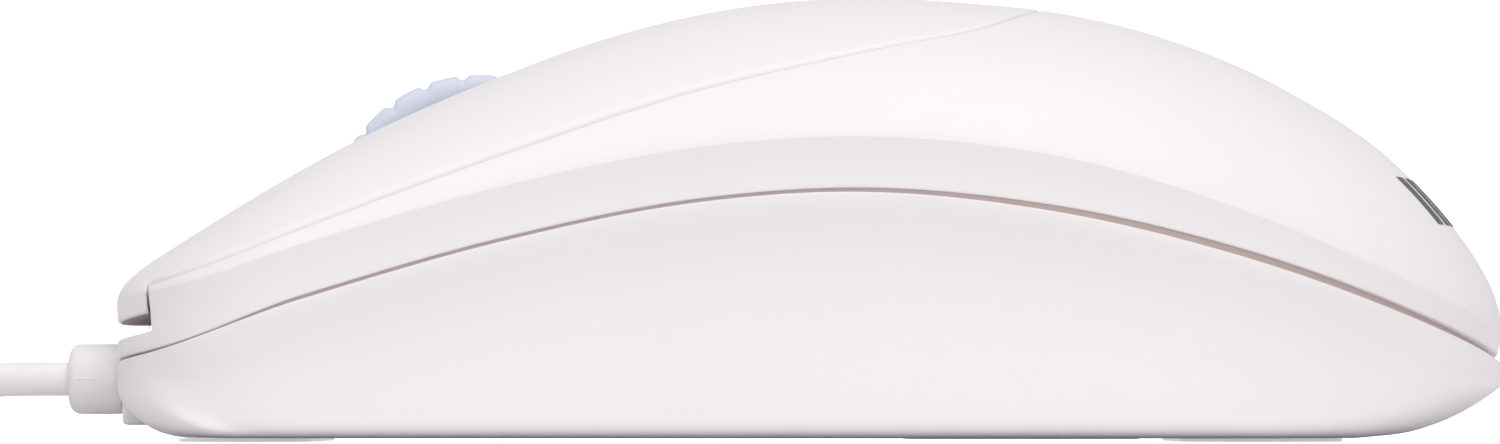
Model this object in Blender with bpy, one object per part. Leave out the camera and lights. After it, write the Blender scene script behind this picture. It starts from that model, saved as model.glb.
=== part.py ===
"""A corded optical computer mouse, as an assembly of separate sub-parts.

The mouse lies along X with its cable end at -X and its palm end at +X, +Z up, and stands on z = 0.
Sizes in this file are millimetres; MM turns them into Blender's metres where meshes are made.
"""

import math

import bmesh
import bpy
import numpy as np
from mathutils import Matrix, Vector

MM = 0.001

# ---------------------------------------------------------------- driving dimensions
HALF_LENGTH = 60.0
HALF_WIDTH = 31.0
UNDERSIDE = 0.3  # underside of the base, above the glide pads' feet
WALL = 1.6  # upper housing and key covers
BASE_WALL = 2.0
FLOOR = 2.3  # top of the base's floor
KEY_TRAVEL_DEG = 0.5

KEY_PIVOT = (16.0, 32.0)  # x, z of the line that each key cover bends about
WHEEL_CENTRE = (-28.8, 18.8)
WHEEL_RADIUS = 13.0
WHEEL_WIDTH = 6.6
WHEEL_TEETH = 24
WHEEL_HALF_SLOT = 4.0

CABLE_RADIUS = 1.5
CABLE_HEIGHT = 5.4  # axis of the cable where it leaves the mouse
RELIEF_RADIUS = 3.0
RELIEF_END = -64.4

BOARD_TOP = 8.0
BOARD_THICK = 1.6
SWITCH_X = -43.0
SWITCH_Y = 13.4
SWITCH_SIZE = (12.8, 5.8, 6.5)
PLUNGER_TOP = 15.3
CARRIER_PIVOT = (-12.0, 12.4)  # x, z of the wheel carrier's pins
MIDDLE_SWITCH_X = -46.5

COIL_CENTRE = (-103.0, -15.0)
COIL_INNER, COIL_OUTER = 11.8, 24.2
COIL_LOW, COIL_HIGH = 0.7, 13.0
PLUG_AXIS_X = -137.0
PLUG_HEIGHT = 3.9
PLUG_REAR_Y = 2.0


def smooth_curve(points):
    """A smooth function through (x, value) points: a cubic between each two, with slopes from their neighbours."""
    xs, ys = (np.array(column, float) for column in zip(*points))
    slopes = np.gradient(ys, xs)

    def value(x):
        x = min(max(x, xs[0]), xs[-1])
        i = min(int(np.searchsorted(xs, x, side="right")) - 1, len(xs) - 2)
        span = xs[i + 1] - xs[i]
        t = (x - xs[i]) / span
        return float(
            (1 + 2 * t) * (1 - t) ** 2 * ys[i]
            + t * (1 - t) ** 2 * span * slopes[i]
            + t * t * (3 - 2 * t) * ys[i + 1]
            + t * t * (t - 1) * span * slopes[i + 1]
        )

    return value


def smooth_step(t):
    t = min(max(t, 0.0), 1.0)
    return t * t * (3 - 2 * t)


# ---------------------------------------------------------------- the body's outlines
# Back line of the mouse in the plane y = 0, seam between the two halves, seam of the keys: all as heights over x.
SPINE = smooth_curve(
    [(-60, 13.6), (-57, 15.5), (-53, 18.0), (-46.2, 22.2), (-40, 25.7), (-27, 31.6), (-18.3, 34.8), (-7.8, 37.4),
     (4.5, 38.5), (13, 38.1), (21.5, 37.2), (30.6, 35.0), (41, 30.6), (51.5, 23.3), (57.6, 16.0), (60, 12.0)]
)
PARTING = smooth_curve(
    [(-60, 6.85), (-55.4, 7.6), (-42, 11.9), (-25.6, 16.6), (-9.2, 19.8), (2.9, 20.6), (19.1, 19.1), (35.6, 15.3),
     (52.7, 9.6), (60, 6.8)]
)
KEY_SEAM = smooth_curve(
    [(-55, 12.6), (-42.1, 17.8), (-25.7, 23.9), (-9.3, 29.3), (0.6, 31.7), (7.3, 33.2), (14.2, 34.8), (20.1, 37.3)]
)
BREADTH = smooth_curve([(-60, 26.3), (-45, 26.8), (-25, 27.3), (-5, 28.8), (15, 30.6), (30, 31.0), (60, 31.0)])
UNDERCUT_FRONT = smooth_curve([(-60, 4.9), (-59.4, 3.4), (-58.4, 2.3), (-56.6, 1.1), (-54, 0.4), (-51, UNDERSIDE)])
UNDERCUT_REAR = smooth_curve([(46, UNDERSIDE), (51.5, 0.9), (55, 2.0), (60, 4.9)])

KEY_TIP = 20.1  # x of the rear tip of the key covers
RAIL_FRONT = -54.9  # x of the side rails' front ends, and of the inner end of the slot under the keys
SLOT_LOW, SLOT_HIGH = 1.7, 3.25  # heights of the front slot above the parting line
LIP_INSET = 0.6  # the base's upper edge, inside the widest outline
TONGUE = 1.7  # height of the inner tongue that closes the gap


def half_width(x):
    """Half the body's greatest width at x, which is at the soft crease of the upper housing."""
    front = min(max((-42 - x) / 18, 0), 1)
    rear = min(max((x - 20) / 40, 0), 1)
    return BREADTH(x) * (1 - front**3.2) ** (1 / 2.3) * (1 - rear**2.4) ** (1 / 2.2)


def crease_height(x):
    return PARTING(x) + 4.3 + 0.7 * smooth_step((-46 - x) / 12) - 2.2 * smooth_step((x - 15) / 45)


def top_height(x):
    """The back line, rounded over at the nose and the tail."""
    front = min(max((-56.8 - x) / 3.2, 0), 1)
    rear = min(max((x - 58.2) / 1.8, 0), 1)
    rounding = (1 - front**3) ** (1 / 3) * (1 - rear**2.6) ** (1 / 2.6)
    return crease_height(x) + (SPINE(x) - crease_height(x)) * rounding


def dome_share(q):
    """Height of the dome's cross-section, from 1 on the back line (q = 0) to 0 at the crease (q = 1)."""
    return max(0.0, 1 - q**2.1) ** 0.7


def dome_height(x, y):
    crease = crease_height(x)
    return crease + (top_height(x) - crease) * dome_share(min(abs(y) / half_width(x), 1))


def undercut(depth):
    """How far the housing's side leans in, this far below its crease."""
    return 0.035 * depth * depth


def seam_half_width(x):
    """Half the key covers' width at x: where the dome is as high as the key seam, and never nearer the side than 1.2."""
    outer = half_width(x) - 1.2
    low, high = 0.0, outer
    if dome_height(x, outer) >= KEY_SEAM(x):
        return outer
    for _ in range(30):
        middle = (low + high) / 2
        if dome_height(x, middle) > KEY_SEAM(x):
            low = middle
        else:
            high = middle
    return low


def gap_height(x):
    """Height of the shadow gap between the halves, which opens towards the tail."""
    return 0.3 + 0.5 * smooth_step((x + 5) / 60)


def scoop(x, z):
    """How far the base's side is hollowed, for the thumb and the ring finger."""
    parting = PARTING(x)
    depth = max(parting - z, 0)
    upper = 1 - math.exp(-depth / 3.2)
    lower = 0.35 + 0.65 * (max(z, 0) / parting) ** 0.8
    nose = -57.5 + 9.5 * max(1 - z / 7.5, 0) ** 2.2
    ends = smooth_step((x - nose) / 7) * smooth_step((58 - x) / 14)
    return 2.4 * upper * lower * ends


def underside_height(x):
    return UNDERCUT_FRONT(x) if x < 0 else UNDERCUT_REAR(x)


# ---------------------------------------------------------------- making objects
def clear_scene():
    for obj in list(bpy.data.objects):
        bpy.data.objects.remove(obj)


MATERIALS = {
    # name: (colour, roughness, metallic, transmission)
    "shell_white": ((0.86, 0.84, 0.85), 0.38, 0, 0),
    "wheel_blue": ((0.62, 0.66, 0.82), 0.45, 0, 0),
    "inner_white": ((0.80, 0.80, 0.78), 0.5, 0, 0),
    "cable_grey": ((0.84, 0.82, 0.82), 0.5, 0, 0),
    "glide_grey": ((0.70, 0.69, 0.70), 0.35, 0, 0),
    "board_green": ((0.05, 0.24, 0.11), 0.4, 0, 0),
    "part_black": ((0.03, 0.03, 0.035), 0.45, 0, 0),
    "plunger_amber": ((0.75, 0.35, 0.08), 0.4, 0, 0),
    "steel": ((0.62, 0.62, 0.63), 0.28, 1, 0),
    "gold": ((0.83, 0.62, 0.25), 0.3, 1, 0),
    "lens_clear": ((0.92, 0.94, 0.95), 0.08, 0, 0.9),
    "led_red": ((0.75, 0.05, 0.04), 0.2, 0, 0.3),
    "lead_red": ((0.6, 0.04, 0.03), 0.5, 0, 0),
    "lead_green": ((0.05, 0.35, 0.1), 0.5, 0, 0),
    "label_silver": ((0.72, 0.72, 0.73), 0.4, 0, 0),
}


def material(name):
    if name in bpy.data.materials:
        return bpy.data.materials[name]
    colour, roughness, metallic, transmission = MATERIALS[name]
    made = bpy.data.materials.new(name)
    made.use_nodes = True
    shader = made.node_tree.nodes["Principled BSDF"]
    shader.inputs["Base Color"].default_value = (*colour, 1)
    shader.inputs["Roughness"].default_value = roughness
    shader.inputs["Metallic"].default_value = metallic
    shader.inputs["Transmission Weight"].default_value = transmission
    made.diffuse_color = (*colour, 1)
    return made


def add_object(name, mesh, material_name, location=(0, 0, 0)):
    obj = bpy.data.objects.new(name, mesh)
    obj.location = Vector(location) * MM
    bpy.context.scene.collection.objects.link(obj)
    if material_name:
        obj.data.materials.append(material(material_name))
    else:
        obj.hide_render = True
        obj.display_type = "WIRE"
    return obj


def add_mesh(name, points, faces, material_name=None, location=(0, 0, 0), smooth=True):
    """A closed mesh from points in millimetres, round stretches shaded smooth. With no material it is a cutter."""
    mesh = bpy.data.meshes.new(name)
    work = bmesh.new()
    corners = [work.verts.new(p) for p in points]
    for face in faces:
        work.faces.new([corners[i] for i in face])
    bmesh.ops.recalc_face_normals(work, faces=work.faces)
    if work.calc_volume(signed=True) < 0:
        bmesh.ops.reverse_faces(work, faces=work.faces)
    bmesh.ops.scale(work, vec=(MM, MM, MM), verts=work.verts)
    work.to_mesh(mesh)
    work.free()
    obj = add_object(name, mesh, material_name, location)
    if smooth:
        mesh.shade_smooth()
        mesh.set_sharp_from_angle(angle=math.radians(35))
    return obj


def loft(name, sections, material_name=None):
    """Skins closed sections with the same number of points, and fills the first and the last."""
    count = len(sections[0])
    points = [p for section in sections for p in section]
    faces = [tuple(range(count)), tuple(range(len(points) - count, len(points)))]
    for i in range(len(sections) - 1):
        for j in range(count):
            k = (j + 1) % count
            faces.append((i * count + j, i * count + k, (i + 1) * count + k, (i + 1) * count + j))
    return add_mesh(name, points, faces, material_name)


def prism(name, outline, low, high, material_name=None, location=(0, 0, 0)):
    """An outline of (x, y) points, extruded up. low and high are heights or functions of x."""
    bottom = [(x, y, low(x) if callable(low) else low) for x, y in outline]
    top = [(x, y, high(x) if callable(high) else high) for x, y in outline]
    count = len(outline)
    faces = [tuple(range(count)), tuple(range(count, 2 * count))]
    faces += [(j, (j + 1) % count, count + (j + 1) % count, count + j) for j in range(count)]
    return add_mesh(name, bottom + top, faces, material_name, location)


def box(name, low, high, material_name=None, bevel=0.0, segments=1):
    """A box between two corners, its edges bevelled."""
    centre = (Vector(low) + Vector(high)) / 2
    half = (Vector(high) - Vector(low)) / 2
    outline = [(-half.x, -half.y), (half.x, -half.y), (half.x, half.y), (-half.x, half.y)]
    obj = prism(name, outline, -half.z, half.z, material_name, centre)
    if bevel:
        edge = obj.modifiers.new("edges", "BEVEL")
        edge.width = bevel * MM
        edge.segments = segments
    return obj


def circle(radius, count, centre=(0, 0), start=0.0):
    angles = [start + 2 * math.pi * i / count for i in range(count)]
    return [(centre[0] + radius * math.cos(a), centre[1] + radius * math.sin(a)) for a in angles]


def turned(name, profile, axis, location, material_name=None, count=24, bored=False):
    """A round solid from (radius, height) points that run up its outer side and, if it has a bore, down the inner."""
    rings = [[(r * math.cos(a), r * math.sin(a), h) for a in np.linspace(0, 2 * math.pi, count, endpoint=False)]
             for r, h in profile]
    points = [p for ring in rings for p in ring]
    joins = len(rings) if bored else len(rings) - 1
    faces = []
    for i in range(joins):
        a, b = i * count, (i + 1) % len(rings) * count
        faces += [(a + j, a + (j + 1) % count, b + (j + 1) % count, b + j) for j in range(count)]
    if not bored:
        faces += [tuple(range(count)), tuple(range(len(points) - count, len(points)))]
    turn = {"X": Matrix.Rotation(math.pi / 2, 3, "Y"), "Y": Matrix.Rotation(-math.pi / 2, 3, "X")}
    rotation = turn.get(axis, Matrix.Identity(3))
    return add_mesh(name, [rotation @ Vector(p) for p in points], faces, material_name, location)


def rod(name, radius, length, axis, start, material_name=None, count=20):
    """A plain round bar that runs from start, in the axis's own direction."""
    return turned(name, [(radius, 0), (radius, length)], axis, start, material_name, count)


def smooth_route(points, step):
    """Points a step apart along a smooth curve through hand-chosen ones."""
    points = [Vector(p) for p in points]
    ends = [2 * points[0] - points[1], *points, 2 * points[-1] - points[-2]]
    fine = []
    for a, b, c, d in zip(ends, ends[1:], ends[2:], ends[3:]):
        for t in np.linspace(0, 1, 24, endpoint=False):
            fine.append(0.5 * (2 * b + (c - a) * t + (2 * a - 5 * b + 4 * c - d) * t**2 + (3 * b - a - 3 * c + d) * t**3))
    fine.append(points[-1])
    along = np.concatenate([[0], np.cumsum([(q - p).length for p, q in zip(fine, fine[1:])])])
    at = np.linspace(0, along[-1], max(2, round(along[-1] / step)))
    return [[float(np.interp(s, along, [p[k] for p in fine])) for k in range(3)] for s in at]


def tube(name, route, radius, material_name, resolution=2):
    """A round cord along a route, with its ends filled."""
    data = bpy.data.curves.new(name, "CURVE")
    data.dimensions = "3D"
    data.bevel_depth = radius * MM
    data.bevel_resolution = resolution
    data.use_fill_caps = True
    line = data.splines.new("POLY")
    line.points.add(len(route) - 1)
    for point, place in zip(line.points, route):
        point.co = (*(c * MM for c in place), 1)
    return add_object(name, data, material_name)


def combine(obj, other, operation):
    step = obj.modifiers.new(f"{operation.lower()} {other.name}", "BOOLEAN")
    step.operation = operation
    step.object = other
    step.solver = "EXACT"
    return obj


def cut(obj, *others):
    for other in others:
        combine(obj, other, "DIFFERENCE")


def join(obj, *others):
    for other in others:
        combine(obj, other, "UNION")


# ---------------------------------------------------------------- the shells
def stations(count, inset=0.0):
    """Values of x spread evenly along the body's outline in plan, from the nose to the tail."""
    xs = -HALF_LENGTH * np.cos(np.linspace(0, math.pi, 1200))
    outline = np.array([(x, half_width(x)) for x in xs])
    along = np.concatenate([[0], np.cumsum(np.linalg.norm(np.diff(outline, axis=0), axis=1))])
    inside = np.linspace(0, along[-1], count + 2)[1:-1]
    scale = (HALF_LENGTH - inset) / HALF_LENGTH
    return [(float(np.interp(s, along, xs)), scale) for s in inside]


def housing_hull(name, inset, low, drop=0.0, high=None, count=32, arc=10):
    """The closed solid inside the upper outline, moved in by inset. low and high are its bottom and a flat-cut top."""
    narrow = (HALF_WIDTH - inset) / HALF_WIDTH
    sections = []
    for x, scale in stations(count, inset):
        width, crease, top = half_width(x), crease_height(x), top_height(x)
        bottom = low(x * scale)
        half = []
        if high:
            half = [(width - LIP_INSET, z) for z in (bottom, high(x * scale))]
        else:
            half = [(width - undercut(crease - z), z - drop) for z in np.linspace(bottom + drop, crease, 4)]
            for angle in np.linspace(0, math.pi / 2, arc)[1:]:
                q = math.cos(angle) ** 0.9 if angle < 1.57 else 0.0
                half.append((width * q, crease + (top - crease) * dome_share(q) - drop))
        right = [(x * scale, max(y, 0.05) * narrow, z) for y, z in half]
        left = [(px, -y, z) for px, y, z in reversed(right)]
        if not high:
            right[-1] = (right[-1][0], 0.0, right[-1][2])
            left = left[1:]
        sections.append(right + left)
    return loft(name, sections)


def base_hull(name, inset, floor=None, high=None, count=32, arc=8, side=6):
    """The closed solid inside the base's outline, up to the tongue's top. With a floor it is the hollow, to above that."""
    narrow = (HALF_WIDTH - inset) / HALF_WIDTH
    sections = []
    for x, scale in stations(count, inset):
        width = half_width(x) - LIP_INSET
        under, rim = underside_height(x), PARTING(x) - gap_height(x) / 2
        shoulder = min(5.0, rim - 0.6)
        middle = smooth_step((x + 58) / 14) * smooth_step((56 - x) / 20)
        power = 2.6 + 9 * middle
        half = []
        for angle in np.linspace(math.pi / 2, 0, arc):
            across = max(math.cos(angle), 0) ** (2 / power) if angle < 1.57 else 0.0
            z = shoulder - (shoulder - under) * math.sin(angle) ** (2 / power)
            half.append((max(width - scoop(x, z), 0.3) * across, z))
        for z in [*np.linspace(shoulder, rim, side)[1:], rim + TONGUE]:
            half.append((max(width - scoop(x, z), 0.3), z))
        if floor is not None:
            half = [(y, max(z + floor - UNDERSIDE, floor)) for y, z in half]
            half.append((half[-1][0], high))
        right = [(x * scale, y * narrow, z) for y, z in half]
        left = [(px, -y, z) for px, y, z in reversed(right)]
        sections.append(right[1:] + left[:-1] if floor is None else right + left[:-1])
    return loft(name, sections)


def key_outline(grow):
    """The key covers' outline in plan, moved out by grow; past the rails' front ends it takes in the whole nose."""
    xs = [RAIL_FRONT + grow, -52, -48, -43, -38, -32, -25, -18, -11, -4, 2, 7, 11, 14.5, 17.2, 19.0, 19.9]
    side = [(x, seam_half_width(x) + grow) for x in xs]
    front = [(-HALF_LENGTH - 5, HALF_WIDTH + 5), (RAIL_FRONT + grow, HALF_WIDTH + 5)]
    half = front + side
    return half + [(KEY_TIP + grow, 0)] + [(x, -y) for x, y in reversed(half)]


def above_parting(offset):
    return lambda x: PARTING(min(max(x, -HALF_LENGTH), HALF_LENGTH)) + offset


def make_upper_housing():
    """Palm cover, side rails and the low front wall, one moulding."""
    shell = housing_hull("upper_housing", 0, lambda x: PARTING(x) + gap_height(x) / 2)
    shell.hide_render = False
    shell.display_type = "TEXTURED"
    shell.data.materials.append(material("shell_white"))
    hollow = housing_hull("housing_hollow", WALL, lambda x: PARTING(x) - 6, drop=WALL, count=24, arc=7)
    rebate = housing_hull("tongue_room", 0.8, above_parting(-3), high=above_parting(1.75), count=24)
    keys = prism("key_opening", key_outline(0.18), above_parting(SLOT_LOW), 60)
    post = rod("screw_post", 3.0, 24.0, "Z", (38, 0, 10.0))
    pilot = rod("screw_pilot", 1.35, 12.0, "Z", (38, 0, 9.0))
    neck = rod("housing_neck_hole", 2.25, 8.0, "X", (-62, 0, CABLE_HEIGHT))
    inside = housing_hull("post_limit", WALL / 2, lambda x: PARTING(x) - 8, drop=WALL / 2, count=20, arc=6)
    combine(post, inside, "INTERSECT")
    cut(shell, hollow, rebate, keys)
    join(shell, post)
    cut(shell, pilot, neck, rod("housing_relief_room", 3.3, 4.5, "X", (-64, 0, CABLE_HEIGHT)))
    return shell


def make_key(side):
    """One key cover: the left or right half of the plate that reaches from the palm cover to the front lip."""
    sign = -1 if side == "left" else 1
    key = housing_hull(f"{side}_button", 0, above_parting(SLOT_HIGH))
    key.hide_render = False
    key.display_type = "TEXTURED"
    key.data.materials.append(material("shell_white"))
    hollow = housing_hull(f"{side}_key_hollow", 2.6, lambda x: PARTING(x) - 6, drop=WALL, count=24, arc=7)
    outline = [(x, y) for x, y in key_outline(-0.12) if y * sign >= -1e-6]
    outline = [(x, max(abs(y), 0.25) * sign) for x, y in outline]
    outline.append((-HALF_LENGTH - 5, 0.25 * sign))
    limit = prism(f"{side}_key_limit", outline, 0, 60)
    wheel_slot = prism(f"{side}_wheel_slot", stadium((-38.9, 0), (-25.4, 0), WHEEL_HALF_SLOT), 5, 60)
    post_low = PLUNGER_TOP + 0.12
    post = box(f"{side}_actuator", (SWITCH_X - 2, sign * SWITCH_Y - 1.5, post_low),
               (SWITCH_X + 2, sign * SWITCH_Y + 1.5, 40))
    inside = housing_hull(f"{side}_post_limit", WALL / 2, lambda x: PARTING(x) - 8, drop=WALL / 2, count=20, arc=6)
    combine(post, inside, "INTERSECT")
    combine(key, limit, "INTERSECT")
    cut(key, hollow, wheel_slot)
    join(key, post)
    return key


def stadium(start, end, radius, count=9):
    """The outline of a slot with round ends, along X."""
    right = [(end[0] + radius * math.sin(a), end[1] - radius * math.cos(a)) for a in np.linspace(0, math.pi, count)]
    left = [(start[0] - radius * math.sin(a), start[1] + radius * math.cos(a)) for a in np.linspace(0, math.pi, count)]
    return right + left


def make_base():
    """The base: a tray with the cable boss, the board's posts, the screw boss and the sensor window."""
    shell = base_hull("base_shell", 0)
    shell.hide_render = False
    shell.display_type = "TEXTURED"
    shell.data.materials.append(material("shell_white"))
    hollow = base_hull("base_hollow", BASE_WALL, floor=FLOOR, high=40, count=22, arc=5, side=3)
    step = housing_hull("tongue_step", -4, lambda x: PARTING(x) - gap_height(x) / 2, high=above_parting(6))
    tongue = housing_hull("tongue", 1.15, above_parting(-4), high=above_parting(9), count=24)
    cut(step, tongue)
    boss = box("cable_boss", (-59.2, -4.6, 1.4), (-54.7, 4.6, 5.9))
    neck = rod("base_neck_hole", 2.25, 8.0, "X", (-62, 0, CABLE_HEIGHT))
    flange_room = rod("flange_room", 3.5, 4.0, "X", (-57.7, 0, CABLE_HEIGHT))
    cut(shell, hollow, step)
    join(shell, boss)
    for i, (x, y) in enumerate([(-48.0, -17.6), (-48.0, 17.6), (20.5, -18.5), (20.5, 18.5)]):
        join(shell, rod(f"board_post_{i}", 1.8, BOARD_TOP - BOARD_THICK - FLOOR + 0.7, "Z", (x, y, FLOOR - 1.0), count=12))
    for i, sign in enumerate((-1, 1)):
        x, z = CARRIER_PIVOT
        ear = box(f"pivot_ear_{i}", (x - 2.6, sign * 9.2 - 1.1, FLOOR - 1), (x + 2.6, sign * 9.2 + 1.1, z + 2.6))
        join(shell, ear)
    join(shell, rod("screw_boss", 3.4, 7.2, "Z", (38, 0, 1.5)))
    cut(shell, neck, flange_room, rod("base_relief_room", 3.3, 4.5, "X", (-64, 0, CABLE_HEIGHT)))
    cut(shell, rod("pivot_bore", 1.3, 24, "Y", (CARRIER_PIVOT[0], -12, CARRIER_PIVOT[1]), count=16))
    cut(shell, rod("screw_clearance", 1.6, 12, "Z", (38, 0, -1)), rod("screw_head_room", 3.0, 2.9, "Z", (38, 0, -1)))
    cut(shell, prism("sensor_window", stadium((-3.5, 0), (3.5, 0), 4.2), -1, 6))
    return shell


def make_glide_pads():
    """Two slippery feet under the base, in line with what holds the mouse level."""
    prism("front_glide_pad", stadium_across(-48, 17, 5.6), 0, UNDERSIDE - 0.02, "glide_grey")
    prism("rear_glide_pad", stadium_across(38.4, 15, 7.0), 0, UNDERSIDE - 0.02, "glide_grey")


def stadium_across(x, half_length, radius, count=9):
    """The outline of a slot with round ends, along Y."""
    return [(-y + x, px) for px, y in stadium((-(half_length - radius), 0), (half_length - radius, 0), radius, count)]


# ---------------------------------------------------------------- the scroll wheel
def make_wheel():
    """Notched tyre, and the hub with its axle, whose far end turns the encoder."""
    x, z = WHEEL_CENTRE
    pitch = 2 * math.pi / WHEEL_TEETH
    outline = []
    for tooth in range(WHEEL_TEETH):
        for share, depth in [(0.0, 0.0), (0.27, 0.05), (0.52, 0.0), (0.63, 0.32), (0.77, 0.5), (0.9, 0.32)]:
            angle = (tooth + share) * pitch
            radius = WHEEL_RADIUS + (0.03 if depth == 0.05 else -depth)
            outline.append((radius * math.cos(angle), radius * math.sin(angle)))
    half = WHEEL_WIDTH / 2
    rings = [(0.93, -half), (1.0, -half + 0.9), (1.0, half - 0.9), (0.93, half)]
    count = len(outline)
    points = [(px * k, y, pz * k) for k, y in rings for px, pz in outline]
    bore = [(9.5 * math.cos(2 * math.pi * i / count), 9.5 * math.sin(2 * math.pi * i / count)) for i in range(count)]
    points += [(px, y, pz) for y in (half, -half) for px, pz in bore]
    faces = []
    for i in range(len(rings) + 2):
        a, b = i * count, (i + 1) % (len(rings) + 2) * count
        faces += [(a + j, a + (j + 1) % count, b + (j + 1) % count, b + j) for j in range(count)]
    add_mesh("scroll_wheel_tyre", points, faces, "wheel_blue", (x, 0, z))
    profile = [(1.2, -8.6), (1.2, -half - 0.6), (2.6, -half - 0.5), (2.6, -half + 0.6), (9.2, -half + 0.8),
               (9.2, half - 0.8), (2.6, half - 0.6), (2.6, 5.0), (1.2, 5.2), (1.2, 11.6)]
    turned("scroll_wheel_hub", profile, "Y", (x, 0, z), "inner_white", 36)


def make_carrier():
    """The cradle that holds the wheel's axle; it tilts on its rear pins and presses the middle switch."""
    x, z = WHEEL_CENTRE
    px, pz = CARRIER_PIVOT
    side = [(px + 2.2, pz - 1.8), (px + 2.2, pz + 1.8), (x + 4, z + 2.8), (x - 4, z + 2.8), (-42.4, 16.5), (-48.4, 16.5),
            (-48.4, PLUNGER_TOP + 0.12), (-42.4, PLUNGER_TOP + 0.12), (x - 6, z - 4.2), (x + 6, z - 5.6)]
    carrier = side_plate("wheel_carrier", side, 6.0, 7.2)
    carrier.hide_render = False
    carrier.display_type = "TEXTURED"
    carrier.data.materials.append(material("inner_white"))
    join(carrier, side_plate("carrier_far_side", side, -7.2, -6.0))
    join(carrier, box("carrier_front_bar", (-48.4, -7.2, PLUNGER_TOP + 0.12), (-43.0, 7.2, 16.5)))
    join(carrier, box("carrier_rear_bar", (px - 2.4, -7.2, pz - 1.8), (px + 2.2, 7.2, pz + 1.8)))
    join(carrier, rod("carrier_pins", 1.0, 20.6, "Y", (px, -10.3, pz), count=16))
    cut(carrier, rod("axle_bore", 1.5, 20, "Y", (x, -10, z), count=24))


def side_plate(name, outline, y0, y1):
    """An (x, z) outline, extruded across."""
    count = len(outline)
    points = [(x, y, z) for y in (y0, y1) for x, z in outline]
    faces = [tuple(range(count)), tuple(range(count, 2 * count))]
    faces += [(j, (j + 1) % count, count + (j + 1) % count, count + j) for j in range(count)]
    return add_mesh(name, points, faces)


# ---------------------------------------------------------------- electronics
def make_switch(name, x, y, along_x=True):
    """A microswitch: its case with a well for the plunger, and the plunger."""
    length, breadth, height = SWITCH_SIZE
    dx, dy = (length / 2, breadth / 2) if along_x else (breadth / 2, length / 2)
    low = BOARD_TOP + 0.1
    case = box(f"{name}_switch_case", (x - dx, y - dy, low), (x + dx, y + dy, low + height), "part_black", 0.3)
    cut(case, box(f"{name}_well", (x - 1.5, y - 1.1, low + height - 3.2), (x + 1.5, y + 1.1, low + height + 2)))
    plunger = (x - 1.2, y - 0.8, low + height - 2.2), (x + 1.2, y + 0.8, PLUNGER_TOP)
    box(f"{name}_switch_plunger", *plunger, "plunger_amber", 0.2)


def make_board():
    """The circuit board, with room for the wheel and a window over the sensor's lens."""
    outline = [(-50.6, -18), (-50.6, 18), (-48, 20.5), (20, 22), (27, 17), (27, -17), (20, -22), (-48, -20.5)]
    board = prism("circuit_board", outline, BOARD_TOP - BOARD_THICK, BOARD_TOP, "board_green")
    cut(board, box("wheel_cutout", (-42.6, -5.4, 5), (-13.6, 5.4, 10)))
    for i, sign in enumerate((-1, 1)):
        x = CARRIER_PIVOT[0]
        cut(board, box(f"ear_slot_{i}", (x - 3.0, sign * 9.2 - 1.5, 5), (x + 3.0, sign * 9.2 + 1.5, 10)))
    cut(board, box("lens_window", (-5.2, -4.2, 5), (5.2, 4.2, 10)))


def make_electronics():
    top = BOARD_TOP + 0.1
    make_board()
    make_switch("left", SWITCH_X, -SWITCH_Y)
    make_switch("right", SWITCH_X, SWITCH_Y)
    make_switch("middle", MIDDLE_SWITCH_X, 0, along_x=False)
    box("sensor_chip", (-6.2, -5.4, top + 0.1), (6.2, 5.4, top + 3.6), "part_black", 0.3)
    box("controller_chip", (-10, 9.5 + 2.6, top), (3, 16.5 + 2.6, top + 2.4), "part_black", 0.3)
    box("crystal_can", (9, 8.4, top), (19, 12.2, top + 3.4), "steel", 0.8, 2)
    rod("filter_capacitor", 2.5, 7.0, "Z", (14, -13, top), "part_black")
    rod("bypass_capacitor", 2.0, 5.0, "Z", (6, -15, top), "part_black", 16)
    turned("sensor_led", [(2.4, 0), (2.4, 4.2), (1.9, 5.4), (1.0, 6.0)], "X", (9.4, 0, top + 2.6), "led_red", 16)
    clip = box("led_clip", (8.2, -3.6, top), (17.4, 3.6, top + 6.2), "part_black", 0.3)
    cut(clip, rod("led_room", 2.7, 7.6, "X", (8.0 + 0.0, 0, top + 2.6), count=20),
        box("clip_front_room", (8.0, -2.7, top - 1), (15.6, 2.7, top + 2.6)))
    lens = box("sensor_lens", (-7.4, -6.0, FLOOR + 0.3), (7.4, 6.0, FLOOR + 2.0), "lens_clear", 0.3)
    join(lens, prism("lens_foot", stadium((-2.6, 0), (2.6, 0), 3.2), 0.9, FLOOR + 1))
    join(lens, box("lens_head", (-3.6, -3.0, FLOOR + 1), (3.6, 3.0, top - 0.4)))
    x, z = WHEEL_CENTRE
    encoder = box("wheel_encoder", (x - 5.6, 9.4, top), (x + 5.6, 12.8, z + 4.6), "part_black", 0.4)
    cut(encoder, rod("encoder_bore", 1.75, 8, "Y", (x, 7, z), count=20))
    header = box("cable_header", (-30.0, -17.4, top), (-20.0, -12.4, top + 4.2), "inner_white", 0.2)
    cut(header, box("header_room", (-30.6, -16.5, top + 0.9), (-20.9, -13.3, top + 6)))
    box("lead_plug", (-30.8, -16.2, top + 1.2), (-22.0, -13.6, top + 5.0), "inner_white", 0.2)


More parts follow.
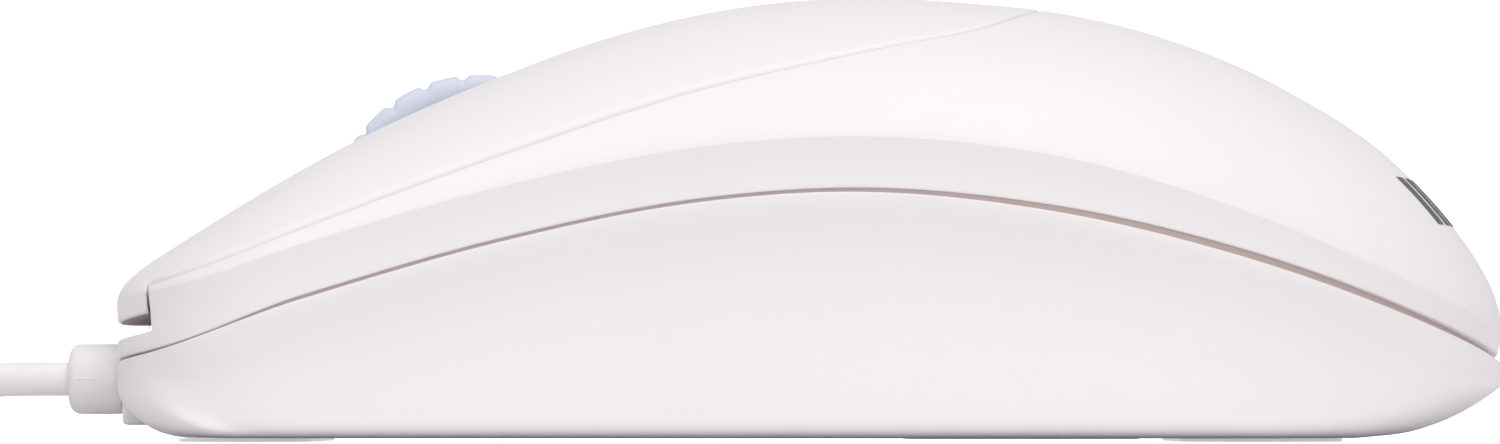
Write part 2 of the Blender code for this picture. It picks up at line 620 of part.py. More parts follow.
def make_leads():
    """The cable's end inside the mouse, and its four leads to the board."""
    tube("inner_cable", [(-55.5, 0, CABLE_HEIGHT), (-53.4, 0, CABLE_HEIGHT)], CABLE_RADIUS, "cable_grey")
    colours = {"red": "lead_red", "white": "inner_white", "green": "lead_green", "black": "part_black"}
    for i, (name, colour) in enumerate(colours.items()):
        spread = i - 1.5
        route = [(-53.1, 0, 5.4, 0.72), (-52.3, -1.2, 6.4, 0.95), (-51.9, -3.8, 8.8, 1.0), (-50.2, -7.0, 10.3, 0.95),
                 (-46.5, -8.6, 10.7, 0.85), (-41, -9.2, 10.9, 0.85), (-36.2, -9.7, 11.1, 0.85), (-33.4, -12.2, 11.2, 0.85),
                 (-31.1, -14.9, 11.2, 0.85)]
        tube(f"lead_{name}", smooth_route([(x, y, z + rise * spread) for x, y, z, rise in route], 1.6), 0.25, colour, 1)


# ---------------------------------------------------------------- the cable
def make_strain_relief():
    """The moulded collar where the cable leaves, with a neck in the wall and a flange inside."""
    profile = [(1.8, RELIEF_END), (2.5, RELIEF_END + 0.1), (2.9, RELIEF_END + 0.5), (RELIEF_RADIUS, RELIEF_END + 1.1),
               (RELIEF_RADIUS, -59.75), (1.9, -59.6), (1.9, -57.4), (3.1, -57.2), (3.1, -56.0), (1.9, -55.8)]
    relief = turned("cable_strain_relief", [(r, h + HALF_LENGTH) for r, h in profile], "X",
                    (-HALF_LENGTH, 0, CABLE_HEIGHT), "cable_grey", 32)
    return relief


CABLE_ROUTE = [(RELIEF_END - 0.3, 0, 5.4), (-67, 0, 5.4), (-70, 0, 5.35), (-74, 0.4, 5.0), (-79, 2.3, 4.0), (-85, 5.6, 2.9),
               (-90.8, 8.3, 2.4)]
TAIL_ROUTE = [(-109.8, 10.5, 8.6), (-116, 13.2, 6.6), (-124, 14.6, 4.8), (-131.5, 12.8, 4.0), (-136, 8.0, 3.9),
              (PLUG_AXIS_X, PLUG_REAR_Y + 0.3, PLUG_HEIGHT)]


def make_cable():
    tube("cable_front", smooth_route(CABLE_ROUTE, 3.2), CABLE_RADIUS, "cable_grey")
    tube("cable_tail", smooth_route(TAIL_ROUTE, 3.2), CABLE_RADIUS, "cable_grey")
    edge = 1.2
    ring = [(COIL_OUTER - edge, COIL_LOW), (COIL_OUTER, COIL_LOW + edge), (COIL_OUTER, COIL_HIGH - edge),
            (COIL_OUTER - edge, COIL_HIGH), (COIL_INNER + edge, COIL_HIGH), (COIL_INNER, COIL_HIGH - edge),
            (COIL_INNER, COIL_LOW + edge), (COIL_INNER + edge, COIL_LOW)]
    turned("cable_coil", ring, "Z", (*COIL_CENTRE, 0), "cable_grey", 40, bored=True)
    tie = box("cable_tie", (COIL_CENTRE[0] - 2, COIL_CENTRE[1] - COIL_OUTER - 0.8, 0.05),
              (COIL_CENTRE[0] + 2, COIL_CENTRE[1] - COIL_INNER + 0.8, COIL_HIGH + 0.7), "part_black", 0.2)
    cut(tie, box("tie_room", (COIL_CENTRE[0] - 5, COIL_CENTRE[1] - COIL_OUTER - 0.35, COIL_LOW - 0.25),
                 (COIL_CENTRE[0] + 5, COIL_CENTRE[1] - COIL_INNER + 0.35, COIL_HIGH + 0.3)))


def make_usb_plug():
    """Grip with its tapered tail, metal shell, and the tongue with its four contacts."""
    x, z = PLUG_AXIS_X, PLUG_HEIGHT
    grip_rear = PLUG_REAR_Y - 9.0
    grip_front = grip_rear - 21.0
    grip = box("usb_plug_grip", (x - 7.6, grip_front, z - 3.85), (x + 7.6, grip_rear, z + 3.85), "cable_grey", 1.2, 2)
    tail = turned("grip_tail", [(2.0, 0.0), (2.6, 9.0), (2.9, 11.0)], "Y", (x, PLUG_REAR_Y, z), count=20)
    tail.matrix_world = Matrix.Translation(Vector((x, PLUG_REAR_Y, z)) * MM) @ Matrix.Rotation(math.pi, 4, "Z")
    join(grip, tail)
    cut(grip, box("shell_room", (x - 6.3, grip_front - 1, z - 2.55), (x + 6.3, grip_front + 6, z + 2.55)))
    mouth = grip_front - 12.5
    shell = box("usb_plug_shell", (x - 6.0, mouth, z - 2.25), (x + 6.0, grip_front + 5.5, z + 2.25), "steel", 0.4)
    cut(shell, box("shell_hollow", (x - 5.65, mouth - 1, z - 1.9), (x + 5.65, grip_front + 8, z + 1.9)))
    for i, dx in enumerate((-2.9, 2.9)):
        cut(shell, box(f"shell_window_{i}", (x + dx - 1.2, mouth + 4.2, z + 1.2), (x + dx + 1.2, mouth + 6.6, z + 3)))
    box("usb_plug_tongue", (x - 5.35, mouth + 0.9, z - 1.6), (x + 5.35, grip_front + 5.0, z + 0.1), "inner_white")
    for i, dx in enumerate((-3.5, -1.0, 1.0, 3.5)):
        box(f"usb_contact_{i + 1}", (x + dx - 0.5, mouth + 1.6, z + 0.2), (x + dx + 0.5, mouth + 9.6, z + 0.4), "gold")


def make_fasteners():
    """The one screw that closes the housing, from below through the base's boss."""
    profile = [(2.5, 0.55), (2.6, 0.8), (2.6, 1.5), (1.05, 1.65), (1.05, 16.5), (0.4, 17.5)]
    turned("housing_screw", profile, "Z", (38, 0, 0), "steel", 20)
    box("type_label", (8, -12, 0.06), (28, 12, UNDERSIDE - 0.05), "label_silver")


def main():
    clear_scene()
    make_base()
    make_upper_housing()
    make_key("left")
    make_key("right")
    make_glide_pads()
    make_wheel()
    make_carrier()
    make_electronics()
    make_leads()
    make_strain_relief()
    make_cable()
    make_usb_plug()
    make_fasteners()


main()
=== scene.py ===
"""The looks of the corded computer mouse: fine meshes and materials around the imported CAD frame."""

import math

import bmesh
import bpy
import numpy as np
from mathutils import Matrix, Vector
from mathutils.geometry import delaunay_2d_cdt


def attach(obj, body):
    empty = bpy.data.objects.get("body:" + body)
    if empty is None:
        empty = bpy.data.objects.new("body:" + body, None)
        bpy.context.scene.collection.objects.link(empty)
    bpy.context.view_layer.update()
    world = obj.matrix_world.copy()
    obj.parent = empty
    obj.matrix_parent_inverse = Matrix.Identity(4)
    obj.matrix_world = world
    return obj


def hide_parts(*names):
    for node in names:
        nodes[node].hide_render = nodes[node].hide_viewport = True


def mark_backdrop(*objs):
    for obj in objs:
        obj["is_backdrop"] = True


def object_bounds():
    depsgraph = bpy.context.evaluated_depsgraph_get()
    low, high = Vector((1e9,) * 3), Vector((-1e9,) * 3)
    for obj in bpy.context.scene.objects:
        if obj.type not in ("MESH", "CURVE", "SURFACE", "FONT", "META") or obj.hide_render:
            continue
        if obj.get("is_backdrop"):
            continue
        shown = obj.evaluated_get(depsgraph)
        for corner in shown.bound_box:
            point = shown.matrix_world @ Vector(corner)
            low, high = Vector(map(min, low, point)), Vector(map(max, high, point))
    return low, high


MM = 0.001
# lengths below are in millimetres
HALF_LENGTH = 60.0
LIP_INSET = 0.6  # the base's upper edge, inside the widest outline
KEY_TIP = 20.1  # x of the rear tip of the key covers
RAIL_FRONT = -55.5  # x of the side rails' front ends
SLOT_LOW, SLOT_HIGH = 1.7, 3.25  # heights of the front slot above the parting line
CUT_GAP = -0.06  # the key covers' lip ends this far from the rails' nominal front
HOUSING_GROWTH, KEY_GROWTH = 0.18, -0.12  # offsets of the two sides of the key covers' seam
KEY_SPLIT = 0.22  # half the gap between the two key covers
LEAN = 0.95  # how far the housing's side leans in at most
SCOOP_DEPTH = 2.4  # how far the base's side is waisted at most
TONGUE = 1.7  # height of the inner tongue that closes the parting gap
SHELL_WALL = 2.0
BASE_FLOOR = 2.3  # top of the base's floor
MARK_TOP, MARK_FOOT, MARK_PITCH = 22.4, 18.4, 2.5
BUMP_DEPTH = 0.00002  # metres
CAMERA_PLACE = (-5.2, -430.0, 2.0)
FRAME_WIDTH = 130.8  # width of the view at the mouse's middle plane
FRAME_RISE = 17.1  # the view's centre at that plane, above the camera
STAGE_RADIUS = 3.5  # metres
WHEEL_CENTRE = (-28.8, 18.8)
WHEEL_HALF_WIDTH = 3.3
WHEEL_TEETH = 24
SLOT_ENDS = (-38.9, -25.4)
SLOT_RADIUS = 4.0
CABLE_RADIUS = 1.5
CABLE_HEIGHT = 5.4
RELIEF_END = -64.4
COIL_CENTRE = (-103.0, -15.0)
COIL_RADII = (12.45, 15.53, 18.61, 21.69)
COIL_LAYERS = (1.56, 4.62, 7.68, 10.74)
PLUG_AXIS_X, PLUG_HEIGHT, PLUG_REAR_Y = -137.0, 3.9, 2.0

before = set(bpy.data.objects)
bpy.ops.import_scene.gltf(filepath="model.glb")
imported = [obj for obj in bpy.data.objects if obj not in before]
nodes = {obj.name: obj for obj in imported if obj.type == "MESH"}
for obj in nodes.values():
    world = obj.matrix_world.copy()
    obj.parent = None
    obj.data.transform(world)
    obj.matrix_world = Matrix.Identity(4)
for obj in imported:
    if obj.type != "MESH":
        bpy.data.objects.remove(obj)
CAD_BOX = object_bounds()
WORLD, TOP_POWER, FRONT_POWER = 0.60, 3.1, 2.6


# ---------------------------------------------------------------- the body's shape, in millimetres
def smooth_curve(points):
    """A smooth function through (x, value) points, for numbers and arrays."""
    xs, ys = (np.array(column, float) for column in zip(*points))
    slopes = np.gradient(ys, xs)

    def value(x):
        x = np.clip(x, xs[0], xs[-1])
        i = np.minimum(np.searchsorted(xs, x, side="right") - 1, len(xs) - 2)
        span = xs[i + 1] - xs[i]
        t = (x - xs[i]) / span
        return (
            (1 + 2 * t) * (1 - t) ** 2 * ys[i]
            + t * (1 - t) ** 2 * span * slopes[i]
            + t * t * (3 - 2 * t) * ys[i + 1]
            + t * t * (t - 1) * span * slopes[i + 1]
        )

    return value


def smooth_step(t):
    t = np.clip(t, 0.0, 1.0)
    return t * t * (3 - 2 * t)


SPINE = smooth_curve(
    [(-60, 13.6), (-57, 15.5), (-53, 18.0), (-46.2, 22.2), (-40, 25.7), (-27, 31.6), (-18.3, 34.8), (-7.8, 37.4),
     (4.5, 38.5), (13, 38.1), (21.5, 37.2), (30.6, 35.0), (41, 30.6), (51.5, 23.3), (57.6, 16.0), (60, 12.0)]
)
PARTING = smooth_curve(
    [(-60, 6.85), (-55.4, 7.6), (-42, 11.9), (-25.6, 16.6), (-9.2, 19.8), (2.9, 20.6), (19.1, 19.1), (35.6, 15.3),
     (52.7, 9.6), (60, 6.8)]
)
KEY_SEAM = smooth_curve(
    [(-55, 12.6), (-42.1, 17.8), (-25.7, 23.9), (-9.3, 29.3), (0.6, 31.7), (7.3, 33.2), (14.2, 34.8), (20.1, 37.3)]
)
BREADTH = smooth_curve([(-60, 26.3), (-45, 26.8), (-25, 27.3), (-5, 28.8), (15, 30.6), (30, 31.0), (60, 31.0)])
UNDERSIDE = 0.3
UNDERCUT_FRONT = smooth_curve([(-60, 4.9), (-59.4, 3.4), (-58.4, 2.3), (-56.6, 1.1), (-54, 0.4), (-51, UNDERSIDE)])
UNDERCUT_REAR = smooth_curve([(46, UNDERSIDE), (51.5, 0.9), (55, 2.0), (60, 4.9)])


def half_width(x):
    """Half the body's greatest width at x, which is at the crease of the upper housing."""
    front = np.clip((-42 - x) / 18, 0, 1)
    rear = np.clip((x - 20) / 40, 0, 1)
    return BREADTH(x) * (1 - front**2.5) ** (1 / 2.05) * (1 - rear**2.4) ** (1 / 2.2)


def crease_height(x):
    """Height of the upper housing's widest line."""
    return PARTING(x) + 4.3 + 0.7 * smooth_step((-46 - x) / 12) - 2.2 * smooth_step((x - 15) / 45)


def top_height(x):
    """Height of the top along the middle."""
    front = np.clip((-56.8 - x) / 3.2, 0, 1)
    rear = np.clip((x - 58.2) / 1.8, 0, 1)
    rounding = (1 - front**3) ** (1 / 3) * (1 - rear**2.6) ** (1 / 2.6)
    return crease_height(x) + (SPINE(x) - crease_height(x)) * rounding


def dome_height(x, y):
    q = np.minimum(np.abs(y) / np.maximum(half_width(x), 1e-6), 1)
    crease = crease_height(x)
    return crease + (top_height(x) - crease) * np.maximum(1 - q**2.1, 0) ** 0.7


def undercut(depth, x):
    """How far the housing's side leans in, this far below its crease: quickly at first, then upright again."""
    share = 0.12 + 0.88 * smooth_step((x + HALF_LENGTH) / 12)
    return LEAN * share * (1 - np.exp(-((np.maximum(depth, 0) / 2.1) ** 1.2)))


def seam_half_width(x):
    """Where the key covers' seam runs: the dome at the seam's height, found by halving."""
    outer = half_width(x) - 1.2
    low, high = np.zeros_like(outer), outer.copy()
    for _ in range(34):
        middle = (low + high) / 2
        above = dome_height(x, middle) > KEY_SEAM(x)
        low, high = np.where(above, middle, low), np.where(above, high, middle)
    return np.where(dome_height(x, outer) >= KEY_SEAM(x), outer, low)


def gap_height(x):
    """Height of the gap between base and upper housing, wider toward the tail."""
    return 0.3 + 0.5 * smooth_step((x + 5) / 60)


def scoop(x, z):
    """How far the base's side is drawn in. It starts behind a raised nose."""
    parting = PARTING(x)
    depth = np.maximum(parting - z, 0)
    upper = 1 - np.exp(-((depth / 4.4) ** 1.5))
    lower = 0.6 + 0.4 * (np.maximum(z, 0) / parting) ** 0.8
    nose = -57.5 + 9.5 * np.maximum(1 - z / 7.5, 0) ** 2.2
    ends = smooth_step((x - nose) / 3.8) * smooth_step((58 - x) / 14)
    return SCOOP_DEPTH * upper * lower * ends


def underside_height(x):
    return np.where(x < 0, UNDERCUT_FRONT(x), UNDERCUT_REAR(x))


# ---------------------------------------------------------------- outlines in plan
def resample(points, step):
    points = np.asarray(points, float)
    along = np.concatenate([[0], np.cumsum(np.linalg.norm(np.diff(points, axis=0), axis=1))])
    at = np.linspace(0, along[-1], max(2, int(round(along[-1] / step)) + 1))
    return np.stack([np.interp(at, along, points[:, k]) for k in range(points.shape[1])], axis=1)


def side_outline(step, x0=-HALF_LENGTH, x1=HALF_LENGTH):
    """The body's outline on the +Y side from x0 to x1, evenly spaced."""
    xs = -HALF_LENGTH * np.cos(np.linspace(0, math.pi, 6001))
    xs = np.concatenate([[x0], xs[(xs > x0) & (xs < x1)], [x1]])
    return resample(np.stack([xs, half_width(xs)], axis=1), step)


def outward(points, closed=False):
    """Unit normals to the right of a path in plan."""
    if closed:
        tangents = np.roll(points, -1, axis=0) - np.roll(points, 1, axis=0)
    else:
        tangents = np.gradient(points, axis=0)
    normals = np.stack([tangents[:, 1], -tangents[:, 0]], axis=1)
    return normals / np.maximum(np.linalg.norm(normals, axis=1, keepdims=True), 1e-9)


def seam_line(grow, step=0.5):
    """The key covers' seam on the +Y side, from the rails' front ends to the rear tip, moved out by grow."""
    xs = RAIL_FRONT + (KEY_TIP - RAIL_FRONT) * np.sin(np.linspace(0, math.pi / 2, 1500))
    line = np.stack([xs, seam_half_width(xs)], axis=1)
    line[-1, 1] = 0.0
    line = resample(line, step)
    moved = line - grow * outward(line)
    moved[-1] = (KEY_TIP + grow, 0.0)
    moved[:, 1] = np.maximum(moved[:, 1], 0)
    return moved


def mirrored(points):
    return np.asarray(points)[::-1] * np.array([1, -1])


# ---------------------------------------------------------------- meshes
def new_object(name, vertices, faces, finish, body="root", smooth=40.0):
    """Vertices in millimetres to a mesh piece that rides on a body."""
    mesh = bpy.data.meshes.new(name)
    mesh.from_pydata(
        [tuple(float(c) * MM for c in v) for v in vertices], [], [tuple(int(i) for i in f) for f in faces]
    )
    mesh.validate()
    made = bmesh.new()
    made.from_mesh(mesh)
    bmesh.ops.remove_doubles(made, verts=made.verts, dist=2e-6)
    made.to_mesh(mesh)
    made.free()
    obj = bpy.data.objects.new(name, mesh)
    bpy.context.scene.collection.objects.link(obj)
    if finish:
        mesh.materials.append(finish)
    mesh.shade_smooth()
    if smooth:
        mesh.set_sharp_from_angle(angle=math.radians(smooth))
    if body:
        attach(obj, body)
    return obj


class Surface:
    """Collects vertices and faces."""

    def __init__(self):
        self.vertices, self.faces = [], []

    def add(self, vertices, faces):
        base = len(self.vertices)
        self.vertices += [tuple(v) for v in vertices]
        self.faces += [tuple(base + i for i in f) for f in faces]
        return base

    def grid(self, rows, closed=False):
        """Rows of points with the same count, joined by quads."""
        count = len(rows[0])
        points = [p for row in rows for p in row]
        faces = []
        for i in range(len(rows) - 1):
            for j in range(count if closed else count - 1):
                k = (j + 1) % count
                faces.append((i * count + j, i * count + k, (i + 1) * count + k, (i + 1) * count + j))
        return self.add(points, faces)


def inside(points, polygon):
    """Which points lie in a polygon, by crossings."""
    found = np.zeros(len(points), bool)
    x, y = points[:, 0], points[:, 1]
    for (ax, ay), (bx, by) in zip(polygon, np.roll(polygon, -1, axis=0)):
        if ay == by:
            continue
        crosses = ((ay > y) != (by > y)) & (x < (bx - ax) * (y - ay) / (by - ay) + ax)
        found ^= crosses
    return found


def distance(points, starts, ends):
    """Distance of each point to the nearest of some segments."""
    nearest = np.full(len(points), 1e9)
    for a, b in zip(starts, ends):
        d = b - a
        length = max(float(d @ d), 1e-12)
        t = np.clip((points - a) @ d / length, 0, 1)
        nearest = np.minimum(nearest, np.linalg.norm(points - (a + t[:, None] * d), axis=1))
    return nearest


EDGE_OFFSETS = (0.008, 0.03, 0.07, 0.13, 0.2, 0.3, 0.43, 0.6, 0.85, 1.2, 1.7, 2.3)
SEAM_SHARES = (0.05, 0.15, 0.3, 0.5, 0.75, 1.0)


def plate(surface, polygon, kinds, radii, bottoms, pitch=1.1):
    """The dome over a polygon in plan, its cut edges rounded and turned down.
    kinds gives each edge, from point i to point i + 1, its kind: "rim" where the side carries on down, or a key
    of radii and bottoms."""
    polygon = np.asarray(polygon, float)
    count = len(polygon)
    following = np.roll(polygon, -1, axis=0)
    area = 0.5 * np.sum(polygon[:, 0] * following[:, 1] - following[:, 0] * polygon[:, 1])
    if area < 0:
        raise ValueError("the polygon runs clockwise")
    kinds = list(kinds)
    groups = {kind: [i for i in range(count) if kinds[i] == kind] for kind in set(kinds)}
    tangents = following - np.roll(polygon, 1, axis=0)
    normals = np.stack([-tangents[:, 1], tangents[:, 0]], axis=1)
    normals /= np.maximum(np.linalg.norm(normals, axis=1, keepdims=True), 1e-9)
    points = [polygon]
    for kind, members in groups.items():
        if kind == "rim":
            offsets = EDGE_OFFSETS
        else:
            r = radii[kind]
            offsets = [r * s for s in SEAM_SHARES] + [r + 0.3, r + 0.75]
        for offset in offsets:
            ring = polygon[members] + normals[members] * offset
            ring = ring[inside(ring, polygon)]
            ring = ring[distance(ring, polygon, following) > 0.86 * offset]
            if offset > 0.5:
                ring = ring[::2]
            points.append(ring)
    low, high = polygon.min(0), polygon.max(0)
    xs = np.arange(low[0], high[0], pitch)
    ys = np.arange(low[1] - 1, high[1] + 1, pitch * 0.866)
    lattice = np.array([(x + (pitch / 2 if j % 2 else 0), y) for j, y in enumerate(ys) for x in xs])
    lattice = lattice[inside(lattice, polygon)]
    keep = np.ones(len(lattice), bool)
    for kind, members in groups.items():
        reach = 2.6 if kind == "rim" else radii[kind] + 1.2
        keep &= distance(lattice, polygon[members], following[members]) > reach
    points.append(lattice[keep])
    flat = np.concatenate(points)
    made, _, triangles, origins, _, _ = delaunay_2d_cdt(
        [Vector(p) for p in flat], [(i, (i + 1) % count) for i in range(count)], [], 0, 1e-5
    )
    made = np.array([tuple(v) for v in made])
    triangles = np.array([tuple(t) for t in triangles])
    centres = made[triangles].mean(axis=1)
    triangles = triangles[inside(centres, polygon)]
    heights = dome_height(made[:, 0], made[:, 1])
    for kind, members in groups.items():
        if kind == "rim":
            continue
        r = radii[kind]
        d = np.minimum(distance(made, polygon[members], following[members]), r)
        heights = np.minimum(heights, heights - (r - np.sqrt(np.maximum(r * r - (r - d) ** 2, 0))))
    base = surface.add(np.column_stack([made, heights]), triangles)
    place = {}
    for new, old in enumerate(origins):
        for o in old:
            if o < count:
                place[o] = new
    for i in range(count):
        j = (i + 1) % count
        if kinds[i] == "rim" or i not in place or j not in place:
            continue
        bottom = bottoms[kinds[i]]
        a, b = place[i], place[j]
        rows = []
        for k in (a, b):
            x, y, z = made[k][0], made[k][1], heights[k]
            end = bottom(x, z) if callable(bottom) else z - bottom
            column = []
            for share in (0.35, 1.0):
                level = z + (end - z) * share
                limit = half_width(x) - undercut(crease_height(x) - level, x)
                column.append((x, math.copysign(min(abs(y), float(limit)), y), level))
            rows.append(column)
        q = surface.add([rows[0][0], rows[1][0], rows[0][1], rows[1][1]], [(0, 1, 3, 2)])
        surface.faces.append((base + b, base + a, q, q + 1))
    return base


def skirt(surface, outline, top, bottom, rows=10, fillet=0.35, lip=1.3, inner=1.5, top_return=False):
    """The side below the crease, leaning in, rounded at its lower edge and turned in.
    The outline runs with the body on its left. top and bottom are heights over x. lip is how far the lower edge
    turns in, and inner how far it turns up again. top_return rounds the upper edge too."""
    outline = np.asarray(outline, float)
    normals = outward(outline)
    xs = outline[:, 0]
    crease, high, low = crease_height(xs), top(xs), bottom(xs)
    made = []

    def row(level, inset):
        lean = undercut(crease - level, xs) + inset
        made.append(np.column_stack([outline - normals * lean[:, None], level]))

    flat = np.zeros_like(xs)
    if top_return:
        row(high, flat + lip)
        row(high, flat + 0.2)
        for angle in (30, 60, 90):
            a = math.radians(angle)
            row(high - 0.2 * (1 - math.cos(a)), flat + 0.2 * (1 - math.sin(a)))
    for share in np.linspace(0, 1, rows):
        start = high - (0.2 if top_return else 0.0)
        row(start + (low + fillet - start) * share, flat)
    for angle in (22, 45, 67, 90):
        a = math.radians(angle)
        row(low + fillet * (1 - math.sin(a)), flat + fillet * (1 - math.cos(a)))
    row(low, flat + lip)
    row(low + inner, flat + lip + 0.05)
    surface.grid(made)


# ---------------------------------------------------------------- materials
def principled(name):
    made = bpy.data.materials.new(name)
    made.use_nodes = True
    return made, made.node_tree, made.node_tree.nodes["Principled BSDF"]


def finish(name, colour, roughness, metallic=0.0, spread=0.03, grain=900.0, bump=0.08, blotch=60.0,
           rough_spread=0.08, transmission=0.0, specular=0.5):
    """A material whose colour, gloss and surface vary with fine and broad noise.
    spread is the colour's share of change."""
    made, tree, shader = principled(name)
    add = tree.nodes.new
    place = add("ShaderNodeTexCoord")
    broad = add("ShaderNodeTexNoise")
    broad.inputs["Scale"].default_value = blotch
    broad.inputs["Detail"].default_value = 4.0
    fine = add("ShaderNodeTexNoise")
    fine.inputs["Scale"].default_value = grain
    fine.inputs["Detail"].default_value = 3.0
    for noise in (broad, fine):
        tree.links.new(place.outputs["Object"], noise.inputs["Vector"])
    mix = add("ShaderNodeMix")
    mix.data_type = "RGBA"
    mix.inputs["A"].default_value = (*[c * (1 - spread) for c in colour], 1)
    mix.inputs["B"].default_value = (*[min(c * (1 + spread), 1.0) for c in colour], 1)
    tree.links.new(broad.outputs["Fac"], mix.inputs["Factor"])
    tree.links.new(mix.outputs["Result"], shader.inputs["Base Color"])
    gloss = add("ShaderNodeMapRange")
    gloss.inputs["From Min"].default_value = 0.3
    gloss.inputs["From Max"].default_value = 0.7
    gloss.inputs["To Min"].default_value = max(roughness - rough_spread, 0.02)
    gloss.inputs["To Max"].default_value = min(roughness + rough_spread, 1.0)
    tree.links.new(fine.outputs["Fac"], gloss.inputs["Value"])
    tree.links.new(gloss.outputs["Result"], shader.inputs["Roughness"])
    relief = add("ShaderNodeBump")
    relief.inputs["Strength"].default_value = bump
    relief.inputs["Distance"].default_value = BUMP_DEPTH
    tree.links.new(fine.outputs["Fac"], relief.inputs["Height"])
    tree.links.new(relief.outputs["Normal"], shader.inputs["Normal"])
    shader.inputs["Metallic"].default_value = metallic
    shader.inputs["Transmission Weight"].default_value = transmission
    shader.inputs["Specular IOR Level"].default_value = specular
    return made


SHELL = finish("shell_white", (0.875, 0.838, 0.850), 0.46, spread=0.012, grain=2600, bump=0.12, blotch=35,
               specular=0.35)
TYRE = finish("tyre_blue", (0.64, 0.67, 0.79), 0.6, spread=0.02, grain=3000, bump=0.25, blotch=150)
CORD = finish("cord_jacket", (0.86, 0.825, 0.832), 0.5, spread=0.02, grain=1800, bump=0.15, blotch=120)
MOULDED = finish("moulded_jacket", (0.83, 0.79, 0.80), 0.46, spread=0.02, grain=2200, bump=0.2, blotch=90)
INNER = finish("inner_plastic", (0.72, 0.72, 0.70), 0.5, spread=0.03, grain=1500, bump=0.15)
BLACK = finish("black_plastic", (0.025, 0.025, 0.028), 0.45, spread=0.15, grain=2200, bump=0.3)
AMBER = finish("amber_plastic", (0.55, 0.20, 0.04), 0.35, spread=0.08, grain=1500)
STEEL = finish("plated_steel", (0.70, 0.71, 0.73), 0.28, metallic=1.0, spread=0.05, grain=700, bump=0.1,
               rough_spread=0.1)
GOLD = finish("gold", (0.83, 0.58, 0.22), 0.25, metallic=1.0, spread=0.06, grain=1500)
LENS = finish("clear_lens", (0.9, 0.93, 0.95), 0.08, transmission=0.9, spread=0.01, rough_spread=0.03, bump=0.02)
RED_LENS = finish("red_lens", (0.75, 0.04, 0.03), 0.12, transmission=0.5, spread=0.05, rough_spread=0.04,
                  bump=0.02)
# painted shade: a dark brown on hidden white parts, so the gaps in front of them read as shadowed lines
PAINTED_SHADE = finish("painted_shade_plastic", (0.52, 0.42, 0.405), 0.6, spread=0.03, grain=1500, bump=0.15)
GLIDE = finish("glide_tape", (0.66, 0.65, 0.655), 0.38, spread=0.06, grain=1200, bump=0.25)
LABEL = finish("label_film", (0.62, 0.62, 0.63), 0.42, metallic=0.35, spread=0.05, grain=1400, bump=0.15)
RED = finish("lead_red", (0.60, 0.03, 0.025), 0.45, spread=0.08)
GREEN = finish("lead_green", (0.03, 0.33, 0.08), 0.45, spread=0.08)
MARK = finish("tail_mark", (0.10, 0.10, 0.11), 0.55, spread=0.10, grain=2600, bump=0.1)

# painted light: the glide tape glows faintly, so its edge stays light in the shade under the base
glide_glow_shader = GLIDE.node_tree.nodes["Principled BSDF"]
glide_glow_shader.inputs["Emission Color"].default_value = (0.9, 0.88, 0.88, 1)
glide_glow_shader.inputs["Emission Strength"].default_value = 0.35


def board_finish():
    """Green solder mask: a fine brick pattern of two greens with lighter lines."""
    made, tree, shader = principled("solder_mask")
    add = tree.nodes.new
    place = add("ShaderNodeTexCoord")
    cells = add("ShaderNodeTexBrick")
    cells.inputs["Scale"].default_value = 260.0
    cells.inputs["Color1"].default_value = (0.02, 0.16, 0.06, 1)
    cells.inputs["Color2"].default_value = (0.015, 0.12, 0.045, 1)
    cells.inputs["Mortar"].default_value = (0.05, 0.27, 0.11, 1)
    cells.inputs["Mortar Size"].default_value = 0.03
    noise = add("ShaderNodeTexNoise")
    noise.inputs["Scale"].default_value = 900.0
    gloss = add("ShaderNodeMapRange")
    gloss.inputs["To Min"].default_value = 0.25
    gloss.inputs["To Max"].default_value = 0.5
    tree.links.new(place.outputs["Object"], cells.inputs["Vector"])
    tree.links.new(place.outputs["Object"], noise.inputs["Vector"])
    tree.links.new(cells.outputs["Color"], shader.inputs["Base Color"])
    tree.links.new(noise.outputs["Fac"], gloss.inputs["Value"])
    tree.links.new(gloss.outputs["Result"], shader.inputs["Roughness"])
    return made


BOARD = board_finish()


# ---------------------------------------------------------------- camera
def make_camera():
    """A long lens at the mouse's own height, a touch tilted up: the side view."""
    data = bpy.data.cameras.new("camera")
    data.sensor_width = 36.0
    data.lens = data.sensor_width * -CAMERA_PLACE[1] / FRAME_WIDTH
    data.clip_start, data.clip_end = 0.01, 10.0
    camera = bpy.data.objects.new("camera", data)
    camera.location = [c * MM for c in CAMERA_PLACE]
    camera.rotation_euler = (math.radians(90) + math.atan2(FRAME_RISE, -CAMERA_PLACE[1]), 0, 0)
    bpy.context.scene.collection.objects.link(camera)
    bpy.context.scene.camera = camera


make_camera()


# ---------------------------------------------------------------- cord
def smooth_route(points, step):
    """Points a step apart along a smooth curve through given ones."""
    points = [Vector(p) for p in points]
    ends = [2 * points[0] - points[1], *points, 2 * points[-1] - points[-2]]
    fine = []
    for a, b, c, d in zip(ends, ends[1:], ends[2:], ends[3:]):
        for t in np.linspace(0, 1, 24, endpoint=False):
            square, cube = 2 * a - 5 * b + 4 * c - d, 3 * b - a - 3 * c + d
            fine.append(0.5 * (2 * b + (c - a) * t + square * t**2 + cube * t**3))
    fine.append(points[-1])
    return resample([tuple(p) for p in fine], step)


